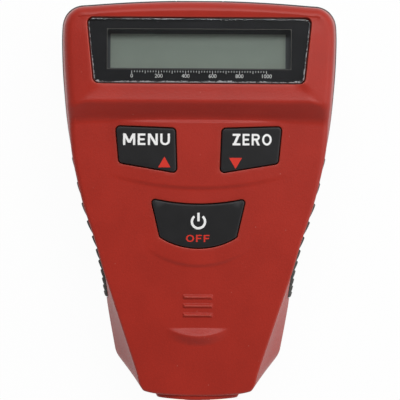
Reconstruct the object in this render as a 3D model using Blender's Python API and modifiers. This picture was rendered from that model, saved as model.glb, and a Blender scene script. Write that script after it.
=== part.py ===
"""Coating thickness gauge: a hand-held gauge with a sprung probe in its nose.

The gauge lies on its back. +Z points out of the face with the display and the
keys, +Y points to the display end, and the probe looks along -Y. The origin is
on the back, at the middle of the whole length. Sizes below are millimetres,
and each mesh is turned into metres as it is made.
"""

import math

import bmesh
import bpy
import numpy as np
from mathutils import Vector
from mathutils.geometry import delaunay_2d_cdt

MM = 0.001

# Fits between pieces
SEAT_GAP = 0.3
RUN_GAP = 0.3

# Case outline at the parting line
TOP_Y = 50.6
TOP_CORNER_X = 28.5
TOP_CORNER_Y = 49.3
CORNER_END_X = 34.3
CORNER_END_Y = 44.0
SIDE_POINTS = [
    (34.4, 40.5),
    (34.0, 30.5),
    (32.6, 16.5),
    (29.3, 0.8),
    (24.9, -13.5),
    (23.6, -25.5),
    (21.2, -39.0),
]
NOSE_CORNER = (14.2, -48.2)
NOSE_SHOULDER = (10.9, -48.4)
NOSE_Y = -48.6

# Face outline, where the front wall ends
WALL_DRAFT = 0.6
DISPLAY_DRAFT = 1.5
DRAFT_FROM_Y = 10.0
DRAFT_FULL_Y = 25.0
CORNER_EASE_Y = 34.0
FACET_START = (23.4, -16.6)
FACET_END = (15.0, -42.5)
FACET_FOOT = (14.4, -45.3)
FACET_CORNER = (13.4, -46.8)
FACE_SHOULDER_Y = -47.4
FACE_NOSE_Y = -48.0

# Levels from the back up: battery bay, circuit board, display, face
BACK_FLOOR = 1.9
CELL_RADIUS = 5.25
CELL_CLEARANCE = 0.25
CELL_Z = BACK_FLOOR + CELL_CLEARANCE + CELL_RADIUS
BAY_HEADROOM = 0.35
BAY_ROOF_Z = CELL_Z + CELL_RADIUS + BAY_HEADROOM
BAY_WALL = 1.2
BOARD_THICK = 1.6
BOARD_OVER_BAY = 0.4
BOARD_TOP_Z = BAY_ROOF_Z + BAY_WALL + BOARD_OVER_BAY + BOARD_THICK
DISPLAY_STACK = 11.0
LENS_TOP_Z = BOARD_TOP_Z + DISPLAY_STACK
LENS_RECESS = 0.8
PLATEAU_Z = LENS_TOP_Z + LENS_RECESS
FACE_DROP = 4.0
FACE_TOP_Z = PLATEAU_Z - FACE_DROP

# Front face levels
PLATEAU_FALL = 0.1
CREST_Y = 25.2
DROP_SLOPE = 0.88
FACE_TOP_Y = 20.0
FACE_FALL = 0.0494
FACE_FALL_CURVE = 0.000424
CROWN_RADIUS = 900.0
PLATEAU_ROUND = 2.6
FACE_ROUND = 1.6
NOSE_ROUND = 0.6
ROUND_STEPS = 3

# Steps, bars and thumb stop moulded on the face
PAD_RISE = 0.45
PAD_TOP_Y = 19.6
PAD_EDGE = 0.5
STEP_1_Y = 3.0
STEP_1_HALF = 22.0
STEP_1_RADIUS = 77.0
STEP_2_Y = -16.1
STEP_2_HALF = 13.0
STEP_2_RADIUS = 21.4
BAR_Y = [-23.2, -25.4, -27.7]
BAR_HALF = 3.75
BAR_WIDTH = 1.25
BAR_RISE = 0.4
STOP_Y = -30.9
STOP_HALF = 8.0
STOP_DEPTH = 2.1
STOP_RISE = 1.0
STOP_FADE = 2.8

# Parting line between the shells
PART_Z = 13.5
PART_NOSE_Z = 3.8
PART_SWOOP_TOP_Y = 10.0
PART_SWOOP_END_Y = -25.0
SHELL_WALL = 2.2
SHELL_ROOF = 2.0
SKIRT_WALL = 1.0
LIP_HEIGHT = 0.8
LIP_WALL = 0.8

# Rear shell
BACK_RISE_Y = -28.0
BACK_NOSE_Z = 2.0
BACK_ROUND = 4.4
BACK_DRAFT = 0.7
REAR_FLARE = 0.3
FLARE_FROM_Y = -20.0
FLARE_SPAN = 60.0
FLOOR_MARGIN = 9.0

# Display stack
LENS_TOP_Y = 44.7
LENS_MARGIN = 7.4
LENS_TOP_HALF = CORNER_END_X - LENS_MARGIN
LENS_TAPER = 1.6
LENS_BOTTOM_Y = 29.0
LENS_BOTTOM_HALF = LENS_TOP_HALF - LENS_TAPER
LENS_CORNER = 1.2
LENS_THICK = 1.0
GASKET_THICK = 0.5
LCD_MARGIN = 2.9
LCD_HALF = LENS_TOP_HALF - LCD_MARGIN
LCD_COVERED = 1.8
WINDOW_HALF = LCD_HALF - LCD_COVERED
WINDOW_BOTTOM_Y = 32.4
WINDOW_TOP_Y = 42.0
LEDGE_THICK = 1.4
LCD_BOTTOM_Y = 31.2
LCD_TOP_Y = 43.2
LCD_THICK = 2.4
HOLDER_WALL = 0.9
STRIP_WIDTH = 1.5
STRIP_HALF = LCD_HALF - 2.5

# Circuit board
BOARD_HALF = LCD_HALF - 1.5
BOARD_TOP_Y = 46.0
BOARD_TAPER_Y = -2.0
BOARD_END_Y = -26.0
BOARD_END_HALF = 12.0
BOARD_SCREWS = [(-19.3, 26.4), (19.3, 26.4), (0.0, -20.5)]
POST_RADIUS = 2.3
CHIP_SIZE = 7.0
CHIP_THICK = 1.3
CHIP_Y = 23.2
CONNECTOR_SIZE = (5.5, 3.6, 2.6)
CONNECTOR_PLACE = (6.6, -19.0)

# Keys
KEY_PROUD = 0.4
KEY_CORNER = 0.8
KEY_TRAVEL = 0.6
KEY_FLANGE = 1.1
KEY_FLANGE_THICK = 0.9
KEY_EDGE_ROUND = 0.3
SIDE_KEY = [(5.8, 18.0), (20.1, 18.5), (19.3, 9.85), (5.45, 7.45)]
SIDE_KEY_STEM = (12.6, 13.2)
OFF_KEY_TOP_HALF = 11.4
OFF_KEY_TOP_Y = 0.8
OFF_KEY_TOP_SAG = 1.3
OFF_KEY_BOTTOM_HALF = 9.3
OFF_KEY_BOTTOM_Y = -8.3
OFF_KEY_BOTTOM_SAG = 2.7
OFF_KEY_STEM = (0.0, -4.6)
STEM_RADIUS = 2.2
SWITCH_SIZE = 6.0
SWITCH_HEIGHT = 1.5
PLUNGER_RADIUS = 1.6
PLUNGER_PROUD = 0.4
PLUNGER_LENGTH = 0.9

# Probe
PROBE_Z = 10.4
COLLAR_END_Y = -49.0
COLLAR_ROOT_HALF = 10.9
COLLAR_END_HALF = 10.2
COLLAR_TOP_Z = 18.1
COLLAR_SIDE_Z = 16.6
SLEEVE_RADIUS = 4.8
SLEEVE_BODY_RADIUS = 5.4
SLEEVE_SHOULDER_Y = -46.0
SLEEVE_BORE = 3.8
SLEEVE_REAR_BORE = 4.5
SLEEVE_STEP_Y = -45.0
SLEEVE_END_Y = -35.0
TIP_Y = -51.0
PROBE_FACE_Y = -50.3
PROBE_FLANGE_THICK = 1.8
PROBE_STEM_RADIUS = 2.9
PROBE_STEM_END_Y = -38.5
PROBE_BORE = 2.3
PROBE_BORE_FRONT_Y = -48.6
CORE_RADIUS = 1.4
CORE_END_Y = -39.9
COIL_WALL = 0.3
COIL_LENGTH = 7.0
RETAINER_THICK = 0.8
RETAINER_HOLE = 1.2
SPRING_WIRE = 0.3
SPRING_TURNS = 4
SADDLE_Y = -38.8
SADDLE_THICK = 1.4
SADDLE_HALF = 8.0
CABLE_RADIUS = 0.6
TURN_STEPS = 24
FACE_SPACING = 5.5
ROOF_SPACING = 9.0
FLOOR_SPACING = 12.0

# Battery bay, cells and door
CELL_LENGTH = 44.5
CELL_NUB = 0.8
CELL_NUB_RADIUS = 1.9
CELL_X = 5.6
CELL_SPRING_ROOM = 5.3
BAY_HALF = 15.3
BAY_END_INSET = 3.3
BAY_END_Y = TOP_Y - BAY_END_INSET
BAY_START_Y = BAY_END_Y - CELL_LENGTH - CELL_SPRING_ROOM
RIB_INSET = 7.6
BAY_RIBS = [BAY_START_Y + RIB_INSET, (BAY_START_Y + BAY_END_Y) / 2, BAY_END_Y - RIB_INSET]
RIB_THICK = 1.2
CONTACT_THICK = 0.4
CONTACT_SIZE = 8.0
CONTACT_TAB = 2.0
CONTACT_SPRING_WIRE = 0.35
DOOR_HALF = 13.5
DOOR_SETBACK = 1.5
DOOR_START_Y = BAY_START_Y + DOOR_SETBACK
DOOR_FACE_Z = 0.15
DOOR_THICK = 1.7
DOOR_END_HALF = 15.0
DOOR_END_TOP_Z = 9.0
DOOR_END_THICK = 2.0
DOOR_TONGUE = 0.8
DOOR_TONGUE_HALF = 14.9
TAB_HALF = 5.75
TAB_TOP_Z = 12.8
TAB_END_Y = 51.0
TAB_THICK = 1.1

# Case screws
CASE_SCREWS = [(-28.3, 43.9), (28.3, 43.9), (-14.5, -31.0), (14.5, -31.0)]
BOSS_RADIUS = 2.8
BOSS_JOIN_Z = 9.0
COUNTERBORE_Z = 5.5
SCREW_HEAD = 1.8
SCREW_HEAD_THICK = 1.4
SCREW_RADIUS = 1.1
CASE_SCREW_LENGTH = 9.0
BOARD_SCREW_LENGTH = 5.0
SCREW_STEPS = 16
PILOT_DEPTH = 0.5
CUTTER_REACH = 3.0

# Side grips
GRIP_TOP_Y = 11.9
GRIP_FIRST_PITCH = 6.25
GRIP_PITCH_RATIO = 0.86
GRIP_SCALLOPS = 11
GRIP_INSET = 0.9
GRIP_PROUD = [(12.0, 0.45), (5.0, 0.75), (-6.0, 1.35), (-14.0, 1.1), (-24.5, 0.4)]
GRIP_VALLEY = 0.075
GRIP_LOW_Z = (6.0, 3.4)
GRIP_HIGH_Z = (17.6, 11.4)
GRIP_EDGE = 1.4

# Materials: colour, roughness, metallic
FINISHES = {
    "red_plastic": ((0.40, 0.035, 0.022), 0.55, 0.0),
    "grey_plastic": ((0.045, 0.045, 0.048), 0.55, 0.0),
    "grip_rubber": ((0.05, 0.048, 0.042), 0.75, 0.0),
    "key_rubber": ((0.02, 0.02, 0.021), 0.6, 0.0),
    "lens_plastic": ((0.012, 0.012, 0.013), 0.2, 0.0),
    "lcd_glass": ((0.15, 0.17, 0.15), 0.3, 0.0),
    "black_foam": ((0.015, 0.015, 0.015), 0.9, 0.0),
    "white_plastic": ((0.7, 0.7, 0.68), 0.5, 0.0),
    "board": ((0.02, 0.14, 0.05), 0.45, 0.0),
    "chip_plastic": ((0.015, 0.015, 0.016), 0.5, 0.0),
    "nickel": ((0.55, 0.53, 0.5), 0.3, 1.0),
    "steel": ((0.45, 0.45, 0.46), 0.35, 1.0),
    "copper": ((0.6, 0.25, 0.12), 0.35, 1.0),
    "cell_jacket": ((0.03, 0.05, 0.12), 0.35, 0.2),
    "cable_jacket": ((0.25, 0.02, 0.02), 0.5, 0.0),
}


# Small tools

def lerp(a, b, t):
    return a + (b - a) * t


def ease(t):
    t = min(max(t, 0.0), 1.0)
    return t * t * (3.0 - 2.0 * t)


def soft_min(a, b, width):
    """The lower of two levels, rounded over the given width where they cross."""
    h = max(width - abs(a - b), 0.0) / width
    return min(a, b) - h * h * width * 0.25


def soft_max(a, b, width):
    return -soft_min(-a, -b, width)


def new_collection(name, hidden=False):
    collection = bpy.data.collections.new(name)
    bpy.context.scene.collection.children.link(collection)
    collection.hide_render = hidden
    return collection


def finish_material(name):
    material = bpy.data.materials.get(name)
    if material is None:
        colour, roughness, metallic = FINISHES[name]
        material = bpy.data.materials.new(name)
        material.use_nodes = True
        shader = material.node_tree.nodes["Principled BSDF"]
        shader.inputs["Base Color"].default_value = (*colour, 1.0)
        shader.inputs["Roughness"].default_value = roughness
        shader.inputs["Metallic"].default_value = metallic
        material.diffuse_color = (*colour, 1.0)
    return material


def place(name, mesh, finish):
    """An object of the gauge, or, with no finish, a hidden guide for a Boolean."""
    obj = bpy.data.objects.new(name, mesh)
    if finish is None:
        obj.display_type = "WIRE"
        obj.hide_render = True
        bpy.data.collections["cutters"].objects.link(obj)
    else:
        mesh.materials.append(finish_material(finish))
        bpy.data.collections["coating_thickness_gauge"].objects.link(obj)
    return obj


def made(name, bm, finish=None, smooth_angle=None):
    """Writes a bmesh that was built in millimetres as an object in metres."""
    bmesh.ops.recalc_face_normals(bm, faces=bm.faces)
    bmesh.ops.scale(bm, vec=Vector((MM, MM, MM)), verts=bm.verts)
    mesh = bpy.data.meshes.new(name)
    bm.to_mesh(mesh)
    bm.free()
    if smooth_angle is not None:
        mesh.shade_smooth()
        mesh.set_sharp_from_angle(angle=math.radians(smooth_angle))
    return place(name, mesh, finish)


def boolean(obj, operation, tool):
    modifier = obj.modifiers.new(tool.name, "BOOLEAN")
    modifier.operation = operation
    modifier.object = tool
    modifier.solver = "EXACT"


def cut(obj, *tools):
    for tool in tools:
        boolean(obj, "DIFFERENCE", tool)


def join(obj, *tools):
    for tool in tools:
        boolean(obj, "UNION", tool)


def edge_bevel(obj, width, segments=2, angle=50.0):
    modifier = obj.modifiers.new("edges", "BEVEL")
    modifier.width = width * MM
    modifier.segments = segments
    modifier.limit_method = "ANGLE"
    modifier.angle_limit = math.radians(angle)


def add_box(bm, x, y, z):
    """A box between the two ends given on each axis."""
    corners = bmesh.ops.create_cube(bm, size=1.0)["verts"]
    for v in corners:
        v.co.x = x[0] if v.co.x < 0 else x[1]
        v.co.y = y[0] if v.co.y < 0 else y[1]
        v.co.z = z[0] if v.co.z < 0 else z[1]
    return corners


def add_post(bm, x, y, radius, low, high, steps=SCREW_STEPS, top_radius=None):
    """An upright cylinder or cone between two levels."""
    made_verts = bmesh.ops.create_cone(
        bm,
        cap_ends=True,
        segments=steps,
        radius1=radius,
        radius2=radius if top_radius is None else top_radius,
        depth=high - low,
    )["verts"]
    bmesh.ops.translate(bm, vec=Vector((x, y, (low + high) / 2)), verts=made_verts)
    return made_verts


def box(name, x, y, z, finish=None):
    bm = bmesh.new()
    add_box(bm, x, y, z)
    return made(name, bm, finish)


def posts(name, places, radius, low, high, finish=None, steps=SCREW_STEPS):
    """Upright cylinders; their upper level may follow (x, y)."""
    bm = bmesh.new()
    for x, y in places:
        add_post(bm, x, y, radius, low, high(x, y) if callable(high) else high, steps)
    return made(name, bm, finish)


def add_prism(bm, outline, low, high):
    """A flat outline carried from one level to another; a level may follow (x, y)."""
    base = bm.faces.new([bm.verts.new((x, y, 0.0)) for x, y in outline])
    lifted = bmesh.ops.extrude_face_region(bm, geom=[base])["geom"]
    top = [g for g in lifted if isinstance(g, bmesh.types.BMVert)]
    for v in base.verts:
        v.co.z = low(v.co.x, v.co.y) if callable(low) else low
    for v in top:
        v.co.z = high(v.co.x, v.co.y) if callable(high) else high
    return top


def prism(name, outline, low, high, finish=None):
    bm = bmesh.new()
    add_prism(bm, outline, low, high)
    return made(name, bm, finish)


def rounded(corners, radius, steps=3):
    """An outline with each sharp corner of a polygon turned into an arc."""
    outline = []
    count = len(corners)
    for i, corner in enumerate(corners):
        here = Vector(corner)
        back = (Vector(corners[i - 1]) - here).normalized()
        ahead = (Vector(corners[(i + 1) % count]) - here).normalized()
        half_angle = back.angle(ahead) / 2
        if half_angle > math.radians(75):
            outline.append(tuple(here))
            continue
        centre = here + (back + ahead).normalized() * radius / math.sin(half_angle)
        start = here + back * radius / math.tan(half_angle) - centre
        end = here + ahead * radius / math.tan(half_angle) - centre
        turn = start.angle_signed(end)
        for k in range(steps + 1):
            angle = -turn * k / steps
            spoke = Vector((
                start.x * math.cos(angle) - start.y * math.sin(angle),
                start.x * math.sin(angle) + start.y * math.cos(angle),
            ))
            outline.append(tuple(centre + spoke))
    return outline


def mirrored(outline):
    return [(-x, y) for x, y in reversed(outline)]


def turned(name, profile, finish=None, steps=TURN_STEPS):
    """A turned piece on the probe's axis; its profile is (radius, y) down the outer side."""
    mesh = bpy.data.meshes.new(name)
    points = [(r * MM, 0.0, y * MM) for r, y in profile]
    closed = profile[0][0] > 0
    edges = [(i, i + 1) for i in range(len(points) - 1)]
    if closed:
        edges.append((len(points) - 1, 0))
    mesh.from_pydata(points, edges, [])
    obj = place(name, mesh, finish)
    obj.location = (0.0, 0.0, PROBE_Z * MM)
    obj.rotation_euler = (math.radians(-90), 0.0, 0.0)
    screw = obj.modifiers.new("turn", "SCREW")
    screw.axis = "Z"
    screw.steps = steps
    screw.render_steps = steps
    screw.use_merge_vertices = True
    screw.merge_threshold = 0.00001
    screw.use_smooth_shade = True
    return obj


def swept_wire(name, points, radius, finish):
    """A round wire through points, with filled ends, as a closed mesh."""
    curve = bpy.data.curves.new(name + "_path", "CURVE")
    curve.dimensions = "3D"
    spline = curve.splines.new("POLY")
    spline.points.add(len(points) - 1)
    for point, co in zip(spline.points, points):
        point.co = (co[0] * MM, co[1] * MM, co[2] * MM, 1.0)
    curve.bevel_depth = radius * MM
    curve.bevel_resolution = 2
    curve.use_fill_caps = True
    guide = bpy.data.objects.new(name + "_path", curve)
    bpy.context.scene.collection.objects.link(guide)
    bpy.context.view_layer.update()
    evaluated = guide.evaluated_get(bpy.context.evaluated_depsgraph_get())
    mesh = bpy.data.meshes.new_from_object(evaluated)
    bpy.data.objects.remove(guide)
    bm = bmesh.new()
    bm.from_mesh(mesh)
    bmesh.ops.remove_doubles(bm, verts=bm.verts, dist=1e-7)
    bm.to_mesh(mesh)
    bm.free()
    mesh.name = name
    mesh.materials.clear()
    mesh.shade_smooth()
    mesh.set_sharp_from_angle(angle=math.radians(60))
    return place(name, mesh, finish)


def coil_points(centre, axis_y, radii, turns, per_turn=10):
    """Points of a coil round a line along Y, from one end to the other."""
    count = int(turns * per_turn)
    points = []
    for i in range(count + 1):
        t = i / count
        angle = 2 * math.pi * turns * t
        radius = lerp(radii[0], radii[1], t)
        points.append((
            centre[0] + radius * math.cos(angle),
            lerp(axis_y[0], axis_y[1], t),
            centre[1] + radius * math.sin(angle),
        ))
    return points


# Outlines of the case

def arc_through(start, end, bulge, steps):
    """Points on the arc from start to end whose middle stands off the chord by bulge."""
    a, b = Vector(start), Vector(end)
    chord = b - a
    side = Vector((-chord.y, chord.x)).normalized()
    radius = (chord.length**2 / 4 + bulge**2) / (2 * bulge)
    centre = (a + b) / 2 + side * (bulge - radius)
    first = math.atan2(a.y - centre.y, a.x - centre.x)
    sweep = math.atan2(b.y - centre.y, b.x - centre.x) - first
    sweep = (sweep + math.pi) % (2 * math.pi) - math.pi
    reach = abs(radius)
    return [
        (
            centre.x + reach * math.cos(first + sweep * k / steps),
            centre.y + reach * math.sin(first + sweep * k / steps),
        )
        for k in range(steps + 1)
    ]


def side_half(y):
    """Half the case's width at the parting line, smooth through the side points."""
    points = [(CORNER_END_X, CORNER_END_Y), *SIDE_POINTS]
    index = 0
    while index < len(points) - 2 and y < points[index + 1][1]:
        index += 1
    (x0, y0), (x1, y1) = points[index], points[index + 1]
    before = points[max(index - 1, 0)]
    after = points[min(index + 2, len(points) - 1)]
    start_slope = (x1 - before[0]) / (y1 - before[1])
    end_slope = (after[0] - x0) / (after[1] - y0)
    t = (y - y0) / (y1 - y0)
    span = y1 - y0
    return (
        (2 * t**3 - 3 * t**2 + 1) * x0
        + (t**3 - 2 * t**2 + t) * span * start_slope
        + (3 * t**2 - 2 * t**3) * x1
        + (t**3 - t**2) * span * end_slope
    )


def drop_foot_y():
    """Where the drop below the display meets the main face."""
    crest = PLATEAU_Z - PLATEAU_FALL * (LENS_BOTTOM_Y - CREST_Y)
    return CREST_Y - (crest - FACE_TOP_Z) / DROP_SLOPE


def side_stations():
    """The levels along the sides where the outlines have points."""
    foot = drop_foot_y()
    upper = [40.5, 36.0, 31.0, CREST_Y + 0.7, CREST_Y - 0.3, foot + 0.4, foot - 0.6]
    lower = [16.5, 11.0, 5.5, 0.5, -4.5, -9.5, -13.5]
    return upper + lower


def facet_half(y):
    """Half the width of the face beside the steep lower walls."""
    t = (y - FACET_START[1]) / (FACET_END[1] - FACET_START[1])
    return lerp(FACET_START[0], FACET_END[0], t)


def wall_draft(y):
    """How far the front wall leans in: more round the display end."""
    return lerp(WALL_DRAFT, DISPLAY_DRAFT, ease((y - DRAFT_FROM_Y) / (DRAFT_FULL_Y - DRAFT_FROM_Y)))


def half_outlines():
    """The right half of the parting outline and of the face outline, point for point."""
    parting = arc_through((0.0, TOP_Y), (TOP_CORNER_X, TOP_CORNER_Y), 0.33, 6)
    parting += arc_through((TOP_CORNER_X, TOP_CORNER_Y), (CORNER_END_X, CORNER_END_Y), 1.75, 4)[1:]
    face = [(x - DISPLAY_DRAFT * x / CORNER_END_X, y - DISPLAY_DRAFT) for x, y in parting]
    for y in side_stations():
        lowered = DISPLAY_DRAFT * ease((y - CORNER_EASE_Y) / (CORNER_END_Y - CORNER_EASE_Y))
        parting.append((side_half(y), y))
        face.append((side_half(y) - wall_draft(y), y - lowered))
    corner = SIDE_POINTS[-1]
    for t in (0.12, 0.3, 0.5, 0.75, 1.0):
        y = lerp(FACET_START[1], corner[1], t)
        parting.append((side_half(y), y))
        face_y = lerp(FACET_START[1], FACET_END[1], t)
        face.append((facet_half(face_y), face_y))
    middle = ((corner[0] + NOSE_CORNER[0]) / 2, (corner[1] + NOSE_CORNER[1]) / 2)
    parting += [middle, NOSE_CORNER, NOSE_SHOULDER]
    face += [FACET_FOOT, FACET_CORNER, (NOSE_SHOULDER[0], FACE_SHOULDER_Y)]
    for x in (7.2, 3.6, 0.0):
        bow = (x / NOSE_SHOULDER[0]) ** 2
        parting.append((x, lerp(NOSE_Y, NOSE_SHOULDER[1], bow)))
        face.append((x, lerp(FACE_NOSE_Y, FACE_SHOULDER_Y, bow)))
    return parting, face


def whole(half):
    """A closed outline from its right half, clockwise from the top's middle."""
    return half + [(-x, y) for x, y in reversed(half[1:-1])]


def inset(outline, distance):
    """The outline moved inwards; the distance may be one number or one for each point."""
    count = len(outline)
    moved = []
    for i, point in enumerate(outline):
        here = Vector(point)
        back = (here - Vector(outline[i - 1])).normalized()
        ahead = (Vector(outline[(i + 1) % count]) - here).normalized()
        normal = Vector((back.y, -back.x)) + Vector((ahead.y, -ahead.x))
        normal.normalize()
        stretch = 1.0 / max(normal.dot(Vector((ahead.y, -ahead.x))), 0.5)
        d = distance[i] if isinstance(distance, list) else distance
        moved.append(tuple(here + normal * d * stretch))
    return moved


def half_at(outline_half, y):
    """Half the width of an outline beside a given level."""
    side = [p for p in outline_half if NOSE_CORNER[1] < p[1] < CORNER_END_Y + 0.1 and p[0] > 12]
    side = sorted(side, key=lambda p: p[1])
    return float(np.interp(y, [p[1] for p in side], [p[0] for p in side]))


# Levels of the case

def part_level(y):
    """The parting line: high round the display end, low round the nose."""
    t = (PART_SWOOP_TOP_Y - y) / (PART_SWOOP_TOP_Y - PART_SWOOP_END_Y)
    return lerp(PART_Z, PART_NOSE_Z, ease(t))


def back_level(y):
    return BACK_NOSE_Z * ease((BACK_RISE_Y - y) / (BACK_RISE_Y - NOSE_CORNER[1]))


def edge_round(y):
    """The radius where the front face meets its walls, from the nose up to the display."""
    low = lerp(NOSE_ROUND, FACE_ROUND, ease((y - FACET_START[1]) / (FACE_TOP_Y - FACET_START[1])))
    return lerp(low, PLATEAU_ROUND, ease((y - FACE_TOP_Y) / (CREST_Y - FACE_TOP_Y)))


def back_round(y):
    return min(BACK_ROUND, 0.6 * (part_level(y) - SEAT_GAP - back_level(y)))


def lens_half(y):
    t = (LENS_TOP_Y - y) / (LENS_TOP_Y - LENS_BOTTOM_Y)
    return lerp(LENS_TOP_HALF, LENS_BOTTOM_HALF, t)


def plain_level(x, y):
    """The front face without its pads, bars and thumb stop."""
    fall = FACE_TOP_Y - y
    main = FACE_TOP_Z - FACE_FALL * fall - FACE_FALL_CURVE * fall * abs(fall)
    main -= x * x / (2 * CROWN_RADIUS)
    off_lens = max(abs(x) - lens_half(y), LENS_BOTTOM_Y - y, y - LENS_TOP_Y, 0.0)
    plateau = PLATEAU_Z - PLATEAU_FALL * off_lens
    crest = PLATEAU_Z - PLATEAU_FALL * (LENS_BOTTOM_Y - CREST_Y)
    drop = crest - DROP_SLOPE * (CREST_Y - y)
    return soft_max(main, soft_min(plateau, drop, 0.7), 0.8)


def step_line(x, y_middle, radius):
    return y_middle + radius - math.sqrt(radius * radius - x * x)


def pad_rise(x, y):
    """The two curved steps below the keys, which fade out towards their ends."""
    rise = 0.0
    if abs(x) < STEP_1_HALF:
        fade = 1.0 - (x / STEP_1_HALF) ** 2
        below = (y - step_line(x, STEP_1_Y, STEP_1_RADIUS)) / PAD_EDGE
        above = (PAD_TOP_Y + PAD_EDGE - y) / PAD_EDGE
        rise += PAD_RISE * fade * ease(below) * ease(above)
    if abs(x) < STEP_2_HALF:
        fade = 1.0 - (x / STEP_2_HALF) ** 2
        below = (y - step_line(x, STEP_2_Y, STEP_2_RADIUS)) / PAD_EDGE
        above = (step_line(x, STEP_1_Y, STEP_1_RADIUS) - y) / 14.0
        rise += PAD_RISE * fade * ease(below) * ease(above)
    return rise


def stop_crest(x):
    """The crest of the thumb stop, a shallow arc below its straight edge."""
    return STOP_Y - STOP_DEPTH * (1.0 - (x / STOP_HALF) ** 2)


def stop_rise(x, y):
    """The thumb stop: a ramp down from a curved crest to a straight edge."""
    if abs(x) >= STOP_HALF or y > STOP_Y:
        return 0.0
    crest = stop_crest(x)
    height = STOP_RISE * (STOP_Y - crest) / STOP_DEPTH
    if y > crest:
        return height * (STOP_Y - y) / max(STOP_Y - crest, 1e-6)
    return height * ease(1.0 - (crest - y) / STOP_FADE)


def bar_rise(x, y):
    for bar_y in BAR_Y:
        if abs(x) <= BAR_HALF - 0.3 and abs(y - bar_y) <= BAR_WIDTH / 2 - 0.3:
            return BAR_RISE
    return 0.0


def face_level(x, y):
    return plain_level(x, y) + pad_rise(x, y) + stop_rise(x, y) + bar_rise(x, y)


def roof_level(x, y):
    """The inside of the front shell's roof."""
    display_roof = LENS_TOP_Z - LENS_THICK - GASKET_THICK - 2 * SEAT_GAP - LEDGE_THICK
    return min(plain_level(x, y) - SHELL_ROOF, display_roof)


def into_roof(x, y):
    """A level within the front shell's roof, where a boss grows out of it."""
    return roof_level(x, y) + SHELL_ROOF / 2


# Moulded shells

def ring(bm, outline, level):
    return [
        bm.verts.new((x, y, level(x, y) if callable(level) else level)) for x, y in outline
    ]


def band(bm, first, second):
    """The wall between two rings that have point for point the same outline."""
    count = len(first)
    for i in range(count):
        j = (i + 1) % count
        bm.faces.new((first[i], first[j], second[j], second[i]))


def cap(bm, border, lines, spacing, level):
    """Closes a ring with a surface that follows a level, with edges along given lines."""
    points = [Vector((v.co.x, v.co.y)) for v in border]
    border_count = len(points)
    edges = []
    for line in lines:
        start = len(points)
        points += [Vector(p) for p in line]
        edges += [(start + k, start + k + 1) for k in range(len(line) - 1)]
    xs = [p.x for p in points[:border_count]]
    ys = [p.y for p in points[:border_count]]
    flat_border = [(p.x, p.y) for p in points[:border_count]]
    rows = int((max(ys) - min(ys)) / spacing)
    columns = int((max(xs) - min(xs)) / spacing / 2)
    fixed = list(points)
    for row in range(1, rows):
        y = min(ys) + (max(ys) - min(ys)) * row / rows
        for column in range(-columns, columns + 1):
            point = Vector(((column + 0.5 * (row % 2)) * spacing, y))
            near = min((point - other).length for other in fixed)
            if near > spacing * 0.45 and inside(flat_border, point):
                points.append(point)
    face = [list(range(border_count))]
    flat, _, triangles, sources, _, _ = delaunay_2d_cdt(points, edges, face, 1, 1e-5)
    verts = []
    for point, source in zip(flat, sources):
        at_border = [index for index in source if index < border_count]
        if at_border:
            verts.append(border[at_border[0]])
        else:
            verts.append(bm.verts.new((point.x, point.y, level(point.x, point.y))))
    for triangle in triangles:
        bm.faces.new([verts[i] for i in triangle])


def inside(outline, point):
    """Whether a point lies within a closed outline."""
    within = False
    for i, (x1, y1) in enumerate(outline):
        x0, y0 = outline[i - 1]
        if (y0 > point.y) != (y1 > point.y):
            if point.x < x0 + (point.y - y0) * (x1 - x0) / (y1 - y0):
                within = not within
    return within


def across(y, half, count=9):
    """A straight line of points over the case at one level."""
    return [(lerp(-half, half, k / (count - 1)), y) for k in range(count)]


def along_step(y_middle, radius, half, offset, count):
    return [
        (x, step_line(x, y_middle, radius) + offset)
        for x in (lerp(-half, half, k / (count - 1)) for k in range(count))
    ]


def loop_of(half_x, y_low, y_high):
    corners = [(-half_x, y_low), (half_x, y_low), (half_x, y_high), (-half_x, y_high)]
    return corners + corners[:1]


def face_lines(face_half):
    """The lines on the front face where its level bends."""
    foot = drop_foot_y()
    lines = []
    for y in (CREST_Y + 0.7, CREST_Y - 0.3, foot + 0.4, foot - 0.6):
        lines.append(across(y, half_at(face_half, y) - edge_round(y) - 0.5))
    lens = [
        (-LENS_TOP_HALF, LENS_TOP_Y),
        (LENS_TOP_HALF, LENS_TOP_Y),
        (LENS_BOTTOM_HALF, LENS_BOTTOM_Y),
        (-LENS_BOTTOM_HALF, LENS_BOTTOM_Y),
    ]
    lines.append(lens + lens[:1])
    lines += [across(PAD_TOP_Y, STEP_1_HALF - 1, 7), across(PAD_TOP_Y + PAD_EDGE, STEP_1_HALF - 1, 7)]
    lines += [
        along_step(STEP_1_Y, STEP_1_RADIUS, STEP_1_HALF - 0.5, offset, 11)
        for offset in (0.0, PAD_EDGE)
    ]
    lines += [
        along_step(STEP_2_Y, STEP_2_RADIUS, STEP_2_HALF - 0.5, offset, 9)
        for offset in (0.0, PAD_EDGE)
    ]
    for y in BAR_Y:
        lines.append(loop_of(BAR_HALF, y - BAR_WIDTH / 2, y + BAR_WIDTH / 2))
        lines.append(loop_of(BAR_HALF - 0.3, y - BAR_WIDTH / 2 + 0.3, y + BAR_WIDTH / 2 - 0.3))
    places = [lerp(-STOP_HALF, STOP_HALF, k / 10) for k in range(11)]
    lines.append([(x, STOP_Y) for x in places])
    lines.append([(x, stop_crest(x)) for x in places[1:-1]])
    lines.append([(x, stop_crest(x) - STOP_FADE / 2) for x in places[2:-2]])
    lines.append([(x, stop_crest(x) - STOP_FADE) for x in places[1:-1]])
    return lines


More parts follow.
